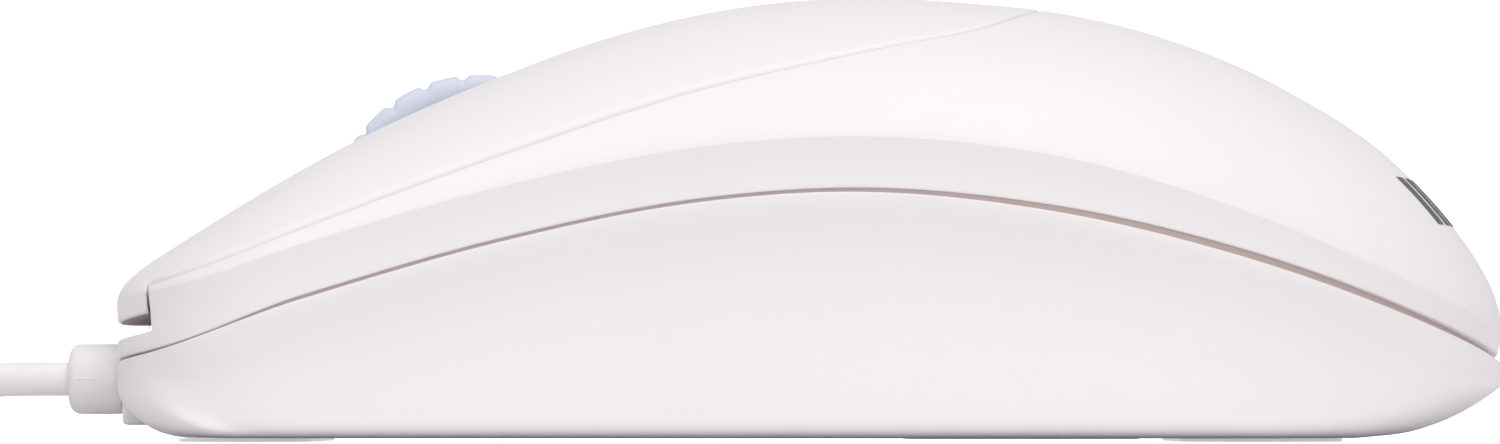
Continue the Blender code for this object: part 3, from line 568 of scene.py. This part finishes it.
def coil_points(per_turn=48):
    """Four layers of four turns, wound in and out by turns. All turns step across in the same quarter."""
    points = []
    turns = []
    for layer in range(4):
        order = COIL_RADII[::-1] if layer % 2 == 0 else COIL_RADII
        turns += [(r, COIL_LAYERS[layer]) for r in order]
    for i, (radius, height) in enumerate(turns):
        last = i == len(turns) - 1
        after = turns[i + 1] if not last else (radius, height)
        for j in range(per_turn * 3 // 4 if last else per_turn):
            share = j / per_turn
            angle = math.radians(90) + 2 * math.pi * share
            step = float(smooth_step((share - 0.75) / 0.25))
            r = radius + (after[0] - radius) * step
            z = height + (after[1] - height) * step
            if after[0] == radius and not last:
                side = 1 if radius > 17 else -1
                r += side * 1.2 * math.sin(math.pi * step)
            points.append((COIL_CENTRE[0] + r * math.cos(angle), COIL_CENTRE[1] + r * math.sin(angle), z))
    return points


FREE_ROUTE = [
    (RELIEF_END + 0.6, 0, 5.4), (-67, 0, 5.4), (-70, 0, 5.35), (-74, 0.4, 5.0), (-79, 2.3, 4.0), (-85, 5.4, 2.9),
    (-91, 7.8, 2.2), (-97, 8.1, 1.75), (-102.9, 6.69, 1.56),
]
TAIL_ROUTE = [
    (-81.31, -15.0, 10.74), (-83.3, -3.9, 10.74), (-90.8, 5.6, 10.7), (-99.5, 10.0, 10.1), (-109.8, 11.4, 8.6),
    (-116, 13.0, 6.8), (-124, 14.4, 4.9), (-131.2, 12.8, 4.0), (-135.8, 8.0, 3.9), (PLUG_AXIS_X, 3.4, 3.9),
    (PLUG_AXIS_X, 1.4, 3.9),
]


def make_cord():
    """The whole cable as one curve, and its length."""
    lead = smooth_route(FREE_ROUTE, 1.5)[:-1]
    tail = smooth_route(TAIL_ROUTE, 1.5)
    route = [tuple(p) for p in lead] + coil_points() + [tuple(p) for p in tail]
    data = bpy.data.curves.new("cable", "CURVE")
    data.dimensions = "3D"
    data.bevel_depth = CABLE_RADIUS * MM
    data.bevel_resolution = 5
    data.use_fill_caps = True
    line = data.splines.new("POLY")
    line.points.add(len(route) - 1)
    for point, spot in zip(line.points, route):
        point.co = (*(c * MM for c in spot), 1)
    line.use_smooth = True
    data.materials.append(CORD)
    obj = bpy.data.objects.new("cable", data)
    bpy.context.scene.collection.objects.link(obj)
    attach(obj, "root")
    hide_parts("cable_front", "cable_coil", "cable_tail")
    length = float(np.linalg.norm(np.diff(np.array(route), axis=0), axis=1).sum())
    return obj, length


cable, cable_length = make_cord()
print("cable length", round(cable_length, 1), "mm")


# ---------------------------------------------------------------- shells
def make_upper_housing():
    """Palm and side rails round the key covers, and the low wall across the nose."""
    surface = Surface()
    front = RAIL_FRONT + HOUSING_GROWTH
    seam = seam_line(HOUSING_GROWTH)
    seam = seam[seam[:, 0] > front + 0.2]
    start = np.array([[front, float(seam_half_width(np.array([front]))[0]) + HOUSING_GROWTH]])
    seam = np.concatenate([start, seam])
    rim = side_outline(0.5, front, HALF_LENGTH)
    right_cut = resample([rim[0], seam[0]], 0.3)
    half = len(rim)
    # counter-clockwise from the left front corner: back along the left rim, round the tail, forward on the right,
    # across the right rail's front, back along the seam to its tip, forward again, across the left rail's front
    left_rim = rim * np.array([1, -1])
    points = [left_rim, rim[::-1][1:], right_cut[1:], seam[1:], mirrored(seam)[1:], mirrored(right_cut)[1:-1]]
    polygon = np.concatenate(points)
    kinds = ["rim"] * (2 * half - 2) + ["cut"] * (len(right_cut) - 1) + ["seam"] * (2 * len(seam) - 2)
    kinds += ["cut"] * (len(polygon) - len(kinds))
    plate(
        surface, polygon, kinds, {"seam": 0.35, "cut": 0.12},
        {"seam": 1.7, "cut": lambda x, z: float(PARTING(x)) + SLOT_LOW},
    )
    rails = np.concatenate([left_rim, rim[::-1][1:]])
    low = lambda x: PARTING(x) + gap_height(x) / 2
    skirt(surface, rails, crease_height, low, rows=12, fillet=0.16, lip=1.2)
    nose_half = side_outline(0.4, -HALF_LENGTH, front + 0.25)
    nose = np.concatenate([nose_half[::-1], (nose_half * np.array([1, -1]))[1:]])
    skirt(surface, nose, lambda x: PARTING(x) + SLOT_LOW, low, rows=4, top_return=True, fillet=0.25)
    # behind the slot, a ledge and a wall close the view into the nose
    xs = nose[:, 0]
    back = nose - outward(nose) * 1.5
    deep = nose - outward(nose) * 4.2
    wall = ((back, 0.4), (back, SLOT_LOW), (deep, SLOT_LOW), (deep, SLOT_HIGH - 1.1))
    surface.grid([np.column_stack([line, PARTING(xs) + height]) for line, height in wall])
    obj = new_object("upper_housing_fine", surface.vertices, surface.faces, SHELL, smooth=50)
    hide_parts("upper_housing")


def slot_line(radius, step=0.3):
    """Half of the wheel's slot in the key covers, on the +Y side, from its rear end to its front."""
    a, b = SLOT_ENDS
    rear = [(b + radius * math.cos(t), radius * math.sin(t)) for t in np.linspace(0.0, math.pi / 2, 40)]
    fore = [(a - radius * math.sin(t), radius * math.cos(t)) for t in np.linspace(0.0, math.pi / 2, 40)]
    return resample(rear + fore, step)


def make_key(side):
    """A key cover: plate, seam, wheel slot and the lip round the nose, made on +Y and mirrored."""
    surface = Surface()
    split = KEY_SPLIT
    front = RAIL_FRONT + CUT_GAP
    seam = seam_line(KEY_GROWTH)
    seam = seam[(seam[:, 1] > split + 0.15)]
    seam = seam[seam[:, 0] > front + 0.2]
    corner = float(seam_half_width(np.array([front]))[0]) + KEY_GROWTH
    tip = np.array([[seam[-1, 0] + 0.12, split]])
    seam = np.concatenate([[[front, corner]], seam, tip])
    nose = side_outline(0.4, -HALF_LENGTH, front)
    nose = nose[nose[:, 1] > split + 0.1]
    nose = np.concatenate([[[float(np.interp(split, *nose[:6, ::-1].T)), split]], nose])
    cut = resample([nose[-1], seam[0]], 0.4)
    slot = slot_line(SLOT_RADIUS)
    slot = slot[slot[:, 1] > split + 0.1]
    slot_rear = np.array([[SLOT_ENDS[1] + math.sqrt(SLOT_RADIUS**2 - split**2), split]])
    slot_front = np.array([[SLOT_ENDS[0] - math.sqrt(SLOT_RADIUS**2 - split**2), split]])
    slot = np.concatenate([slot_rear, slot, slot_front])
    fore = resample([nose[0], slot[-1]], 0.5)
    rear = resample([slot[0], seam[-1]], 0.5)
    # counter-clockwise on the +Y side: along the middle to the rear, back along the seam, out, round the nose
    points = [fore, slot[::-1][1:], rear[1:], seam[::-1][1:], cut[::-1][1:], nose[::-1][1:-1]]
    polygon = np.concatenate(points)
    kinds = (["middle"] * (len(fore) - 1) + ["slot"] * (len(slot) - 1) + ["middle"] * (len(rear) - 1)
             + ["seam"] * (len(seam) - 1) + ["cut"] * (len(cut) - 1) + ["rim"] * (len(nose) - 1))
    plate(
        surface, polygon, kinds, {"seam": 0.35, "cut": 0.12, "middle": 0.25, "slot": 0.6},
        {"seam": 1.5, "cut": lambda x, z: float(PARTING(x)) + SLOT_HIGH, "middle": 1.6, "slot": 2.2},
    )
    skirt(surface, nose[::-1], crease_height, lambda x: PARTING(x) + SLOT_HIGH, rows=6, fillet=0.3,
          lip=4.6, inner=0.8)
    # the middle end of the lip
    x0, y0 = nose[0]
    rows = []
    for level in np.linspace(float(crease_height(x0)), float(PARTING(x0)) + SLOT_HIGH, 5):
        lean = float(undercut(crease_height(x0) - level, x0))
        rows.append([(x0 + lean, y0, level), (x0 + 2.2, y0, level)])
    surface.grid(rows)
    # the actuator post under the key
    x, y = -43.0, 13.4
    corners = [(x - 2, y - 1.5), (x + 2, y - 1.5), (x + 2, y + 1.5), (x - 2, y + 1.5)]
    surface.add([(*c, 15.46) for c in corners] + [(*c, float(dome_height(*c)) - 0.6) for c in corners],
                [(3, 2, 1, 0), (0, 1, 5, 4), (1, 2, 6, 5), (2, 3, 7, 6), (3, 0, 4, 7)])
    # the underside of the lip, in a dark brown that paints the shade under it
    under = Surface()
    line = nose[::-1]
    normals = outward(line)
    low = PARTING(line[:, 0]) + SLOT_HIGH
    lean = undercut(crease_height(line[:, 0]) - low, line[:, 0])
    under.grid([
        np.column_stack([line - normals * (lean + inset)[:, None], low - 0.015]) for inset in (0.34, 1.5, 3.0, 4.5)
    ])
    for part, name, finish_ in ((surface, "key_fine", SHELL), (under, "key_lip_underside", PAINTED_SHADE)):
        vertices, faces = part.vertices, part.faces
        if side == "left":
            vertices = [(x, -y, z) for x, y, z in vertices]
            faces = [f[::-1] for f in faces]
        obj = new_object(
            f"{side}_{name}", vertices, faces, finish_, f"{side}_key", smooth=50
        )
        if part is surface:
            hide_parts(f"{side}_button")


def base_sections(inset, count, arc, side, floor=None, high=None):
    """Closed sections of the base's outside, or of its hollow when floor and high are given."""
    xs = -HALF_LENGTH * np.cos(np.linspace(0, math.pi, 6001))
    outline = np.stack([xs, half_width(xs)], axis=1)
    along = np.concatenate([[0], np.cumsum(np.linalg.norm(np.diff(outline, axis=0), axis=1))])
    scale = (HALF_LENGTH - inset) / HALF_LENGTH
    narrow = (31.0 - inset) / 31.0
    sections = []
    for s in np.linspace(0, along[-1], count + 2)[1:-1]:
        x = float(np.interp(s, along, xs))
        width = float(half_width(x)) - LIP_INSET
        under, rim = float(underside_height(x)), float(PARTING(x) - gap_height(x) / 2)
        shoulder = min(5.0, rim - 0.9)
        middle = float(smooth_step((x + 58) / 14) * smooth_step((56 - x) / 20))
        power = 2.6 + 9 * middle
        half = []
        for angle in np.linspace(math.pi / 2, 0, arc):
            across = max(math.cos(angle), 0) ** (2 / power) if angle < 1.57 else 0.0
            z = shoulder - (shoulder - under) * math.sin(angle) ** (2 / power)
            half.append((max(width - float(scoop(x, z)), 0.3) * across, z))
        if floor is None:
            fillet = min(0.16, max(width - 0.3, 0.05))
            for z in np.linspace(shoulder, rim - fillet, side)[1:]:
                half.append((max(width - float(scoop(x, z)), 0.3), z))
            edge = half[-1][0]
            for a in (22, 45, 67, 90):
                a = math.radians(a)
                half.append((max(edge - fillet * (1 - math.cos(a)), 0.1), rim - fillet * (1 - math.sin(a))))
        else:
            for z in np.linspace(shoulder, rim, side)[1:]:
                half.append((max(width - float(scoop(x, z)), 0.3), z))
            half = [(y, max(z + floor - UNDERSIDE, floor)) for y, z in half]
            half.append((half[-1][0], high))
        right = [(x * scale, y * narrow, z) for y, z in half]
        left = [(px, -y, z) for px, y, z in reversed(right)]
        sections.append(right[1:] + left[:-1] if floor is None else right + left[:-1])
    return sections


def loft_object(name, sections):
    """A closed body through sections with the same count of points."""
    count = len(sections[0])
    points = [tuple(c * MM for c in p) for section in sections for p in section]
    mesh = bpy.data.meshes.new(name)
    work = bmesh.new()
    corners = [work.verts.new(p) for p in points]
    faces = [tuple(range(count)), tuple(range(len(points) - count, len(points)))]
    for i in range(len(sections) - 1):
        for j in range(count):
            k = (j + 1) % count
            faces.append((i * count + j, i * count + k, (i + 1) * count + k, (i + 1) * count + j))
    for face in faces:
        work.faces.new([corners[i] for i in face])
    bmesh.ops.recalc_face_normals(work, faces=work.faces)
    if work.calc_volume(signed=True) < 0:
        bmesh.ops.reverse_faces(work, faces=work.faces)
    work.to_mesh(mesh)
    work.free()
    obj = bpy.data.objects.new(name, mesh)
    bpy.context.scene.collection.objects.link(obj)
    return obj


def prism_sections(outline, low, high):
    return [[(x, y, low) for x, y in outline], [(x, y, high) for x, y in outline]]


def ring(radius, count=48, centre=(0, 0)):
    return [(centre[0] + radius * math.cos(a), centre[1] + radius * math.sin(a))
            for a in np.linspace(0, 2 * math.pi, count, endpoint=False)]


def stadium(start, end, radius, count=20):
    angles = np.linspace(0, math.pi, count)
    right = [(end[0] + radius * math.sin(a), end[1] - radius * math.cos(a)) for a in angles]
    left = [(start[0] - radius * math.sin(a), start[1] + radius * math.cos(a)) for a in angles]
    return right + left


def boolean(obj, others, operation):
    for other in others:
        step = obj.modifiers.new("step", "BOOLEAN")
        step.operation = operation
        step.object = other
        step.solver = "EXACT"
        bpy.context.view_layer.update()
        made = bpy.data.meshes.new_from_object(obj.evaluated_get(bpy.context.evaluated_depsgraph_get()))
        obj.modifiers.clear()
        obj.data = made
        bpy.data.objects.remove(other)


def make_base():
    """The base with its hollow and holes, the tongue behind the parting gap, and the boss under the cable."""
    shell = loft_object("base_shell_fine", base_sections(0, 150, 22, 18))
    hollow = loft_object("hollow", base_sections(SHELL_WALL, 80, 14, 8, floor=BASE_FLOOR, high=40))
    boolean(shell, [hollow], "DIFFERENCE")
    window = loft_object("window", prism_sections(stadium((-3.5, 0), (3.5, 0), 4.2), -1, 6))
    screw = loft_object("screw_room", prism_sections(ring(3.0, centre=(38, 0)), -1, 1.9))
    hole = loft_object("screw_hole", prism_sections(ring(1.6, 32, (38, 0)), -1, 12))
    neck = loft_object("neck", [[(x, y, z + CABLE_HEIGHT) for y, z in ring(3.3)] for x in (-66, -59.45)])
    boolean(shell, [window, screw, hole, neck], "DIFFERENCE")
    mesh = shell.data
    mesh.materials.clear()
    mesh.materials.append(SHELL)
    mesh.shade_smooth()
    mesh.set_sharp_from_angle(angle=math.radians(38))
    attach(shell, "root")
    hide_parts("base_shell")
    surface = Surface()
    half = side_outline(0.6)
    loop = np.concatenate([half * np.array([1, -1]), half[::-1][1:-1]])
    normals = outward(loop, closed=True)
    xs = loop[:, 0]
    rows = []
    foot = PARTING(xs) - gap_height(xs) / 2 - 0.2
    shoulder, crest = PARTING(xs) + TONGUE - 0.3, PARTING(xs) + TONGUE - 0.05
    for inset, height in ((2.0, foot), (2.0, shoulder), (1.85, crest), (1.4, crest), (1.2, shoulder), (1.15, foot),
                          (2.0, foot)):
        rows.append(np.column_stack([loop - normals * inset, height]))
    surface.grid(rows, closed=True)
    # painted shade: the tongue is dark brown so the parting gap in front of it reads as a shadowed line
    tongue = new_object("base_tongue", surface.vertices, surface.faces, PAINTED_SHADE)
    boss = loft_object("cable_boss_fine", [
        [(x, y * w, max(1.4 + r, min(5.9, z))) for y, z in
         [(-4.6, 5.9), (-4.6, 2.2), (-4.3, 1.6), (-3.8, 1.4), (3.8, 1.4), (4.3, 1.6), (4.6, 2.2), (4.6, 5.9)]]
        for x, w, r in ((-59.35, 0.94, 0.25), (-59.2, 0.985, 0.08), (-58.9, 1.0, 0.0), (-55.0, 1.0, 0.0))])
    boss.data.materials.append(SHELL)
    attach(boss, "root")
    return shell, tongue, boss


def make_glides():
    """Two glide pads under the base, with rounded lower edges."""
    for name, x, half_length, radius in (("front_glide_pad", -48, 17, 5.6), ("rear_glide_pad", 38.4, 15, 7.0)):
        outline = stadium((-(half_length - radius), 0), (half_length - radius, 0), radius, 28)
        surface = Surface()
        rows = []
        for inset, z in ((0.0, 0.3), (0.0, 0.12), (0.04, 0.05), (0.13, 0.01), (0.25, 0.0), (1.2, 0.0)):
            small = stadium((-(half_length - radius), 0), (half_length - radius, 0), radius - inset, 28)
            rows.append([(x - py, px, z) for px, py in small])
        base = surface.grid(rows, closed=True)
        count = len(outline)
        surface.faces.append(tuple(base + (len(rows) - 1) * count + i for i in range(count)))
        pad = new_object(f"{name}_fine", surface.vertices, surface.faces, GLIDE, smooth=60)
        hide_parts(name)


def make_label():
    """The type label, blank: a thin film under the base with rounded corners."""
    surface = Surface()
    outline = superellipse(10.0, 12.0, 12, 96)
    levels = ((1.0, 0.29), (1.0, 0.235), (0.99, 0.225), (0.5, 0.225))
    rows = [[(18 + px * k, py * k, z) for px, py in outline] for k, z in levels]
    base = surface.grid(rows, closed=True)
    surface.faces.append(tuple(base + 3 * len(outline) + i for i in range(len(outline))))
    label = new_object("type_label_fine", surface.vertices, surface.faces, LABEL)
    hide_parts("type_label")


def make_tail_mark():
    """A generic mark on the palm's end: a row of slim upright bars."""
    surface = Surface()
    levels = np.linspace(MARK_TOP, MARK_FOOT, 9)
    along = np.linspace(44, HALF_LENGTH - 0.5, 600)
    for middle in np.arange(-5, 6) * MARK_PITCH:
        rows = []
        for y in np.linspace(middle - MARK_PITCH / 3, middle + MARK_PITCH / 3, 7):
            heights = dome_height(along, np.full_like(along, y))
            row = []
            for z in levels:
                x = float(np.interp(-z, -heights, along))
                e = 0.02
                dx = (dome_height(x + e, y) - dome_height(x - e, y)) / (2 * e)
                dy = (dome_height(x, y + e) - dome_height(x, y - e)) / (2 * e)
                normal = Vector((-dx, -dy, 1)).normalized() * 0.035
                row.append((x + normal.x, y + normal.y, float(dome_height(x, y)) + normal.z))
            rows.append(row)
        surface.grid(rows)
    new_object("tail_mark", surface.vertices, surface.faces, MARK)


# ---------------------------------------------------------------- wheel, relief, plug, tie
def make_tyre():
    """The wheel's tyre with rounded notches, which fade toward its sides."""
    x0, z0 = WHEEL_CENTRE
    pitch = 2 * math.pi / WHEEL_TEETH
    per_tooth = 20
    start = math.radians(96.1)
    rows = []
    half = WHEEL_HALF_WIDTH
    # radius, y and the share of the notches' depth
    profile = [(9.4, half - 0.5, 0.0), (10.2, half - 0.45, 0.0), (10.6, half - 0.12, 0.0), (11.0, half, 0.0),
               (11.7, half, 0.1)]
    for angle in (15, 30, 45, 60, 75, 90):
        a = math.radians(angle)
        profile.append((11.9 + 1.13 * math.sin(a), half - 1.05 * (1 - math.cos(a)), min(1.0, 0.25 + angle / 70)))
    profile.append((13.06, half * 0.35, 1.0))
    profile.append((13.08, 0.0, 1.0))
    profile += [(r, -y, share) for r, y, share in reversed(profile[:-1])]
    for radius, y, share in profile:
        row = []
        for k in range(WHEEL_TEETH * per_tooth):
            angle = start + pitch * k / per_tooth
            phase = (k % per_tooth) / per_tooth
            dip = max(0.0, 1 - min(phase, 1 - phase) / 0.2)
            notch = 0.42 * (0.5 - 0.5 * math.cos(math.pi * dip)) * share
            r = radius - notch
            row.append((x0 + r * math.cos(angle), y, z0 + r * math.sin(angle)))
        rows.append(row)
    surface = Surface()
    surface.grid(rows, closed=True)
    tyre = new_object(
        "scroll_wheel_tyre_fine", surface.vertices, surface.faces, TYRE, "wheel", smooth=60
    )
    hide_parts("scroll_wheel_tyre")


def lathe_x(name, profile, centre, finish_, count=64):
    """A round piece along X from (x, radius) points."""
    surface = Surface()
    angles = np.linspace(0, 2 * math.pi, count, endpoint=False)
    rows = [[(x, centre[0] + r * math.cos(a), centre[1] + r * math.sin(a)) for a in angles] for x, r in profile]
    surface.grid(rows, closed=True)
    return new_object(name, surface.vertices, surface.faces, finish_, smooth=45)


def make_relief():
    """The strain relief with its groove in the shell's wall, and two fine mould lines."""
    profile = [(RELIEF_END + 0.25, 1.46), (RELIEF_END + 0.06, 1.6), (RELIEF_END, 1.8)]
    for angle in range(0, 91, 10):
        a = math.radians(angle)
        profile.append((RELIEF_END + 0.95 * (1 - math.cos(a)), 2.1 + 0.95 * math.sin(a)))
    profile += [(-62.4, 3.06), (-61.0, 3.06), (-59.95, 3.04), (-59.75, 2.95), (-59.7, 2.7), (-59.6, 1.9), (-57.4, 1.9),
                (-57.2, 3.1), (-56.0, 3.1), (-55.8, 1.9)]
    relief = lathe_x("cable_strain_relief_fine", profile, (0, CABLE_HEIGHT), MOULDED, 96)
    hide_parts("cable_strain_relief")
    surface = Surface()
    for sign in (-1, 1):
        rows = []
        for x in np.linspace(-63.5, -61.6, 12):
            row = []
            for k, lift in ((-1.0, -0.05), (-0.5, 0.035), (0.0, 0.06), (0.5, 0.035), (1.0, -0.05)):
                a = 0.035 * k
                r = 3.06 + lift
                row.append((x, sign * r * math.cos(a), CABLE_HEIGHT + r * math.sin(a)))
            rows.append(row)
        surface.grid(rows)
    new_object("relief_mould_line", surface.vertices, surface.faces, MOULDED)
    return relief


def superellipse(a, b, power, count=64):
    made = []
    for t in np.linspace(0, 2 * math.pi, count, endpoint=False):
        c, s = math.cos(t), math.sin(t)
        made.append((a * math.copysign(abs(c) ** (2 / power), c), b * math.copysign(abs(s) ** (2 / power), s)))
    return made


def make_plug():
    """The grip: a flat moulded body with finger ribs, narrowing to a short flexible tail."""
    x0, z0 = PLUG_AXIS_X, PLUG_HEIGHT
    rows = []
    # y, half the width, half the height, and how square the section is
    stations = [(PLUG_REAR_Y, 1.62, 1.62, 2), (PLUG_REAR_Y - 0.02, 1.95, 1.95, 2),
                (PLUG_REAR_Y - 0.2, 2.1, 2.1, 2)]
    for k in range(4):
        y = PLUG_REAR_Y - 1.2 - 1.9 * k
        r = 2.2 + 0.14 * k
        ribs = ((0.35, 0.12), (0.0, 0.12), (-0.12, -0.25), (-0.72, -0.22), (-0.84, 0.14))
        stations += [(y + dy, r + dr, r + dr, 2) for dy, dr in ribs]
    stations += [(PLUG_REAR_Y - 8.7, 2.85, 2.8, 2.1), (PLUG_REAR_Y - 9.0, 3.6, 3.1, 2.4),
                 (PLUG_REAR_Y - 9.4, 5.2, 3.5, 3.0), (PLUG_REAR_Y - 10.2, 6.6, 3.72, 3.8),
                 (PLUG_REAR_Y - 11.4, 7.3, 3.82, 4.5), (PLUG_REAR_Y - 13.0, 7.55, 3.85, 5)]
    for k in range(5):
        y = PLUG_REAR_Y - 15.0 - 2.2 * k
        stations += [(y + 0.3, 7.55, 3.85, 5), (y, 7.5, 3.82, 5), (y - 0.15, 7.2, 3.6, 5), (y - 0.75, 7.2, 3.6, 5),
                     (y - 0.9, 7.5, 3.82, 5), (y - 1.2, 7.55, 3.85, 5)]
    front = PLUG_REAR_Y - 30.0
    stations += [(front + 1.2, 7.6, 3.85, 5), (front + 0.5, 7.45, 3.75, 5), (front + 0.15, 7.1, 3.45, 5),
                 (front, 6.6, 2.9, 6), (front, 6.05, 2.3, 8), (front + 3.0, 6.02, 2.28, 8)]
    for y, a, b, power in stations:
        rows.append([(x0 + px, y, z0 + pz) for px, pz in superellipse(a, b, power, 96)])
    surface = Surface()
    surface.grid(rows, closed=True)
    grip = new_object(
        "usb_plug_grip_fine", surface.vertices, surface.faces, MOULDED, smooth=35
    )
    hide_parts("usb_plug_grip")
    return grip


def make_tie():
    """A flat wrap round the coil on the side away from the mouse's rear."""
    cx, cy = COIL_CENTRE
    surface = Surface()
    middle_r = (COIL_RADII[0] + COIL_RADII[3]) / 2
    centre = Vector((0, cy - middle_r, (COIL_LAYERS[0] + COIL_LAYERS[3]) / 2))
    half_y = (COIL_RADII[3] - COIL_RADII[0]) / 2 + CABLE_RADIUS
    half_z = (COIL_LAYERS[3] - COIL_LAYERS[0]) / 2 + CABLE_RADIUS
    loops = []
    for dx, out in ((-1.9, 0.10), (-1.9, 0.42), (-1.75, 0.52), (1.75, 0.52), (1.9, 0.42), (1.9, 0.10)):
        section = superellipse(half_y + out, half_z + out, 7, 96)
        loops.append([(cx + dx, centre.y + py, max(centre.z + pz, 0.02)) for py, pz in section])
    surface.grid(loops, closed=True)
    band = new_object("cable_tie_band", surface.vertices, surface.faces, BLACK, smooth=40)
    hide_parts("cable_tie")
    return band


# ---------------------------------------------------------------- stage and light
def make_stage():
    """A pale floor, white surroundings, and soft light from above and in front."""
    mesh = bpy.data.meshes.new("floor")
    size = 3.0
    mesh.from_pydata([(-size, -size, 0), (size, -size, 0), (size, size, 0), (-size, size, 0)], [], [(0, 1, 2, 3)])
    floor = bpy.data.objects.new("floor", mesh)
    bpy.context.scene.collection.objects.link(floor)
    made, tree, shader = principled("floor_white")
    shader.inputs["Base Color"].default_value = (0.72, 0.715, 0.715, 1)
    shader.inputs["Roughness"].default_value = 0.9
    shader.inputs["Specular IOR Level"].default_value = 0.1
    grazing = tree.nodes.new("ShaderNodeLayerWeight")
    grazing.inputs["Blend"].default_value = 0.5
    ramp = tree.nodes.new("ShaderNodeMapRange")
    ramp.inputs["From Min"].default_value = 0.80
    ramp.inputs["From Max"].default_value = 0.97
    ramp.inputs["To Min"].default_value = 0.05
    ramp.inputs["To Max"].default_value = 0.9
    tree.links.new(grazing.outputs["Facing"], ramp.inputs["Value"])
    tree.links.new(ramp.outputs["Result"], shader.inputs["Emission Strength"])
    shader.inputs["Emission Color"].default_value = (1, 1, 1, 1)
    mesh.materials.append(made)
    backdrop_mesh = bpy.data.meshes.new("backdrop")
    work = bmesh.new()
    bmesh.ops.create_uvsphere(work, u_segments=48, v_segments=24, radius=STAGE_RADIUS)
    work.to_mesh(backdrop_mesh)
    work.free()
    backdrop = bpy.data.objects.new("backdrop", backdrop_mesh)
    bpy.context.scene.collection.objects.link(backdrop)
    glow, _, glow_shader = principled("backdrop_white")
    glow_shader.inputs["Base Color"].default_value = (0.9, 0.9, 0.9, 1)
    glow_shader.inputs["Emission Color"].default_value = (1, 1, 1, 1)
    glow_shader.inputs["Emission Strength"].default_value = 1.0
    backdrop_mesh.materials.append(glow)
    # the white surroundings are only seen; the world and the lamps light the object
    backdrop.visible_diffuse = backdrop.visible_glossy = False
    backdrop.visible_shadow = backdrop.visible_transmission = False
    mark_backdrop(floor, backdrop)
    world = bpy.data.worlds.new("studio")
    bpy.context.scene.world = world
    world.use_nodes = True
    back = world.node_tree.nodes["Background"]
    back.inputs["Color"].default_value = (1, 1, 1, 1)
    back.inputs["Strength"].default_value = WORLD

    def area(name, place, target, size, power):
        data = bpy.data.lights.new(name, "AREA")
        data.shape = "SQUARE"
        data.size = size
        data.energy = power
        lamp = bpy.data.objects.new(name, data)
        lamp.location = place
        lamp.rotation_euler = (Vector(target) - Vector(place)).to_track_quat("-Z", "Y").to_euler()
        bpy.context.scene.collection.objects.link(lamp)

    area("top_light", (0.0, -0.25, 0.9), (0, 0, 0.02), 0.8, TOP_POWER)
    area("front_light", (0.1, -1.0, 0.40), (0, 0, 0.02), 0.8, FRONT_POWER)


NODE_FINISH = {
    "housing_screw": STEEL, "circuit_board": BOARD, "left_switch_case": BLACK, "right_switch_case": BLACK,
    "middle_switch_case": BLACK, "left_switch_plunger": AMBER, "right_switch_plunger": AMBER,
    "middle_switch_plunger": AMBER, "wheel_encoder": BLACK, "sensor_chip": BLACK, "controller_chip": BLACK,
    "crystal_can": STEEL, "filter_capacitor": BLACK, "bypass_capacitor": BLACK, "sensor_led": RED_LENS,
    "led_clip": BLACK, "sensor_lens": LENS, "cable_header": INNER, "lead_plug": INNER, "inner_cable": CORD,
    "lead_red": RED, "lead_white": INNER, "lead_green": GREEN, "lead_black": BLACK,
    "wheel_carrier": INNER, "scroll_wheel_hub": INNER, "usb_plug_shell": STEEL, "usb_plug_tongue": INNER,
    "usb_contact_1": GOLD, "usb_contact_2": GOLD, "usb_contact_3": GOLD, "usb_contact_4": GOLD,
}


def paint_nodes():
    """Materials for the CAD pieces that stay as they are."""
    for name, material in NODE_FINISH.items():
        mesh = nodes[name].data
        mesh.materials.clear()
        mesh.materials.append(material)


make_upper_housing()
make_key("left")
make_key("right")
make_base()
make_glides()
make_label()
make_tail_mark()
make_tyre()
relief = make_relief()
grip = make_plug()
tie = make_tie()
paint_nodes()
make_stage()

bpy.context.scene.view_settings.view_transform = "Standard"

low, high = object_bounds()
{"cad": [list(CAD_BOX[0]), list(CAD_BOX[1])], "visual": [list(low), list(high)]}
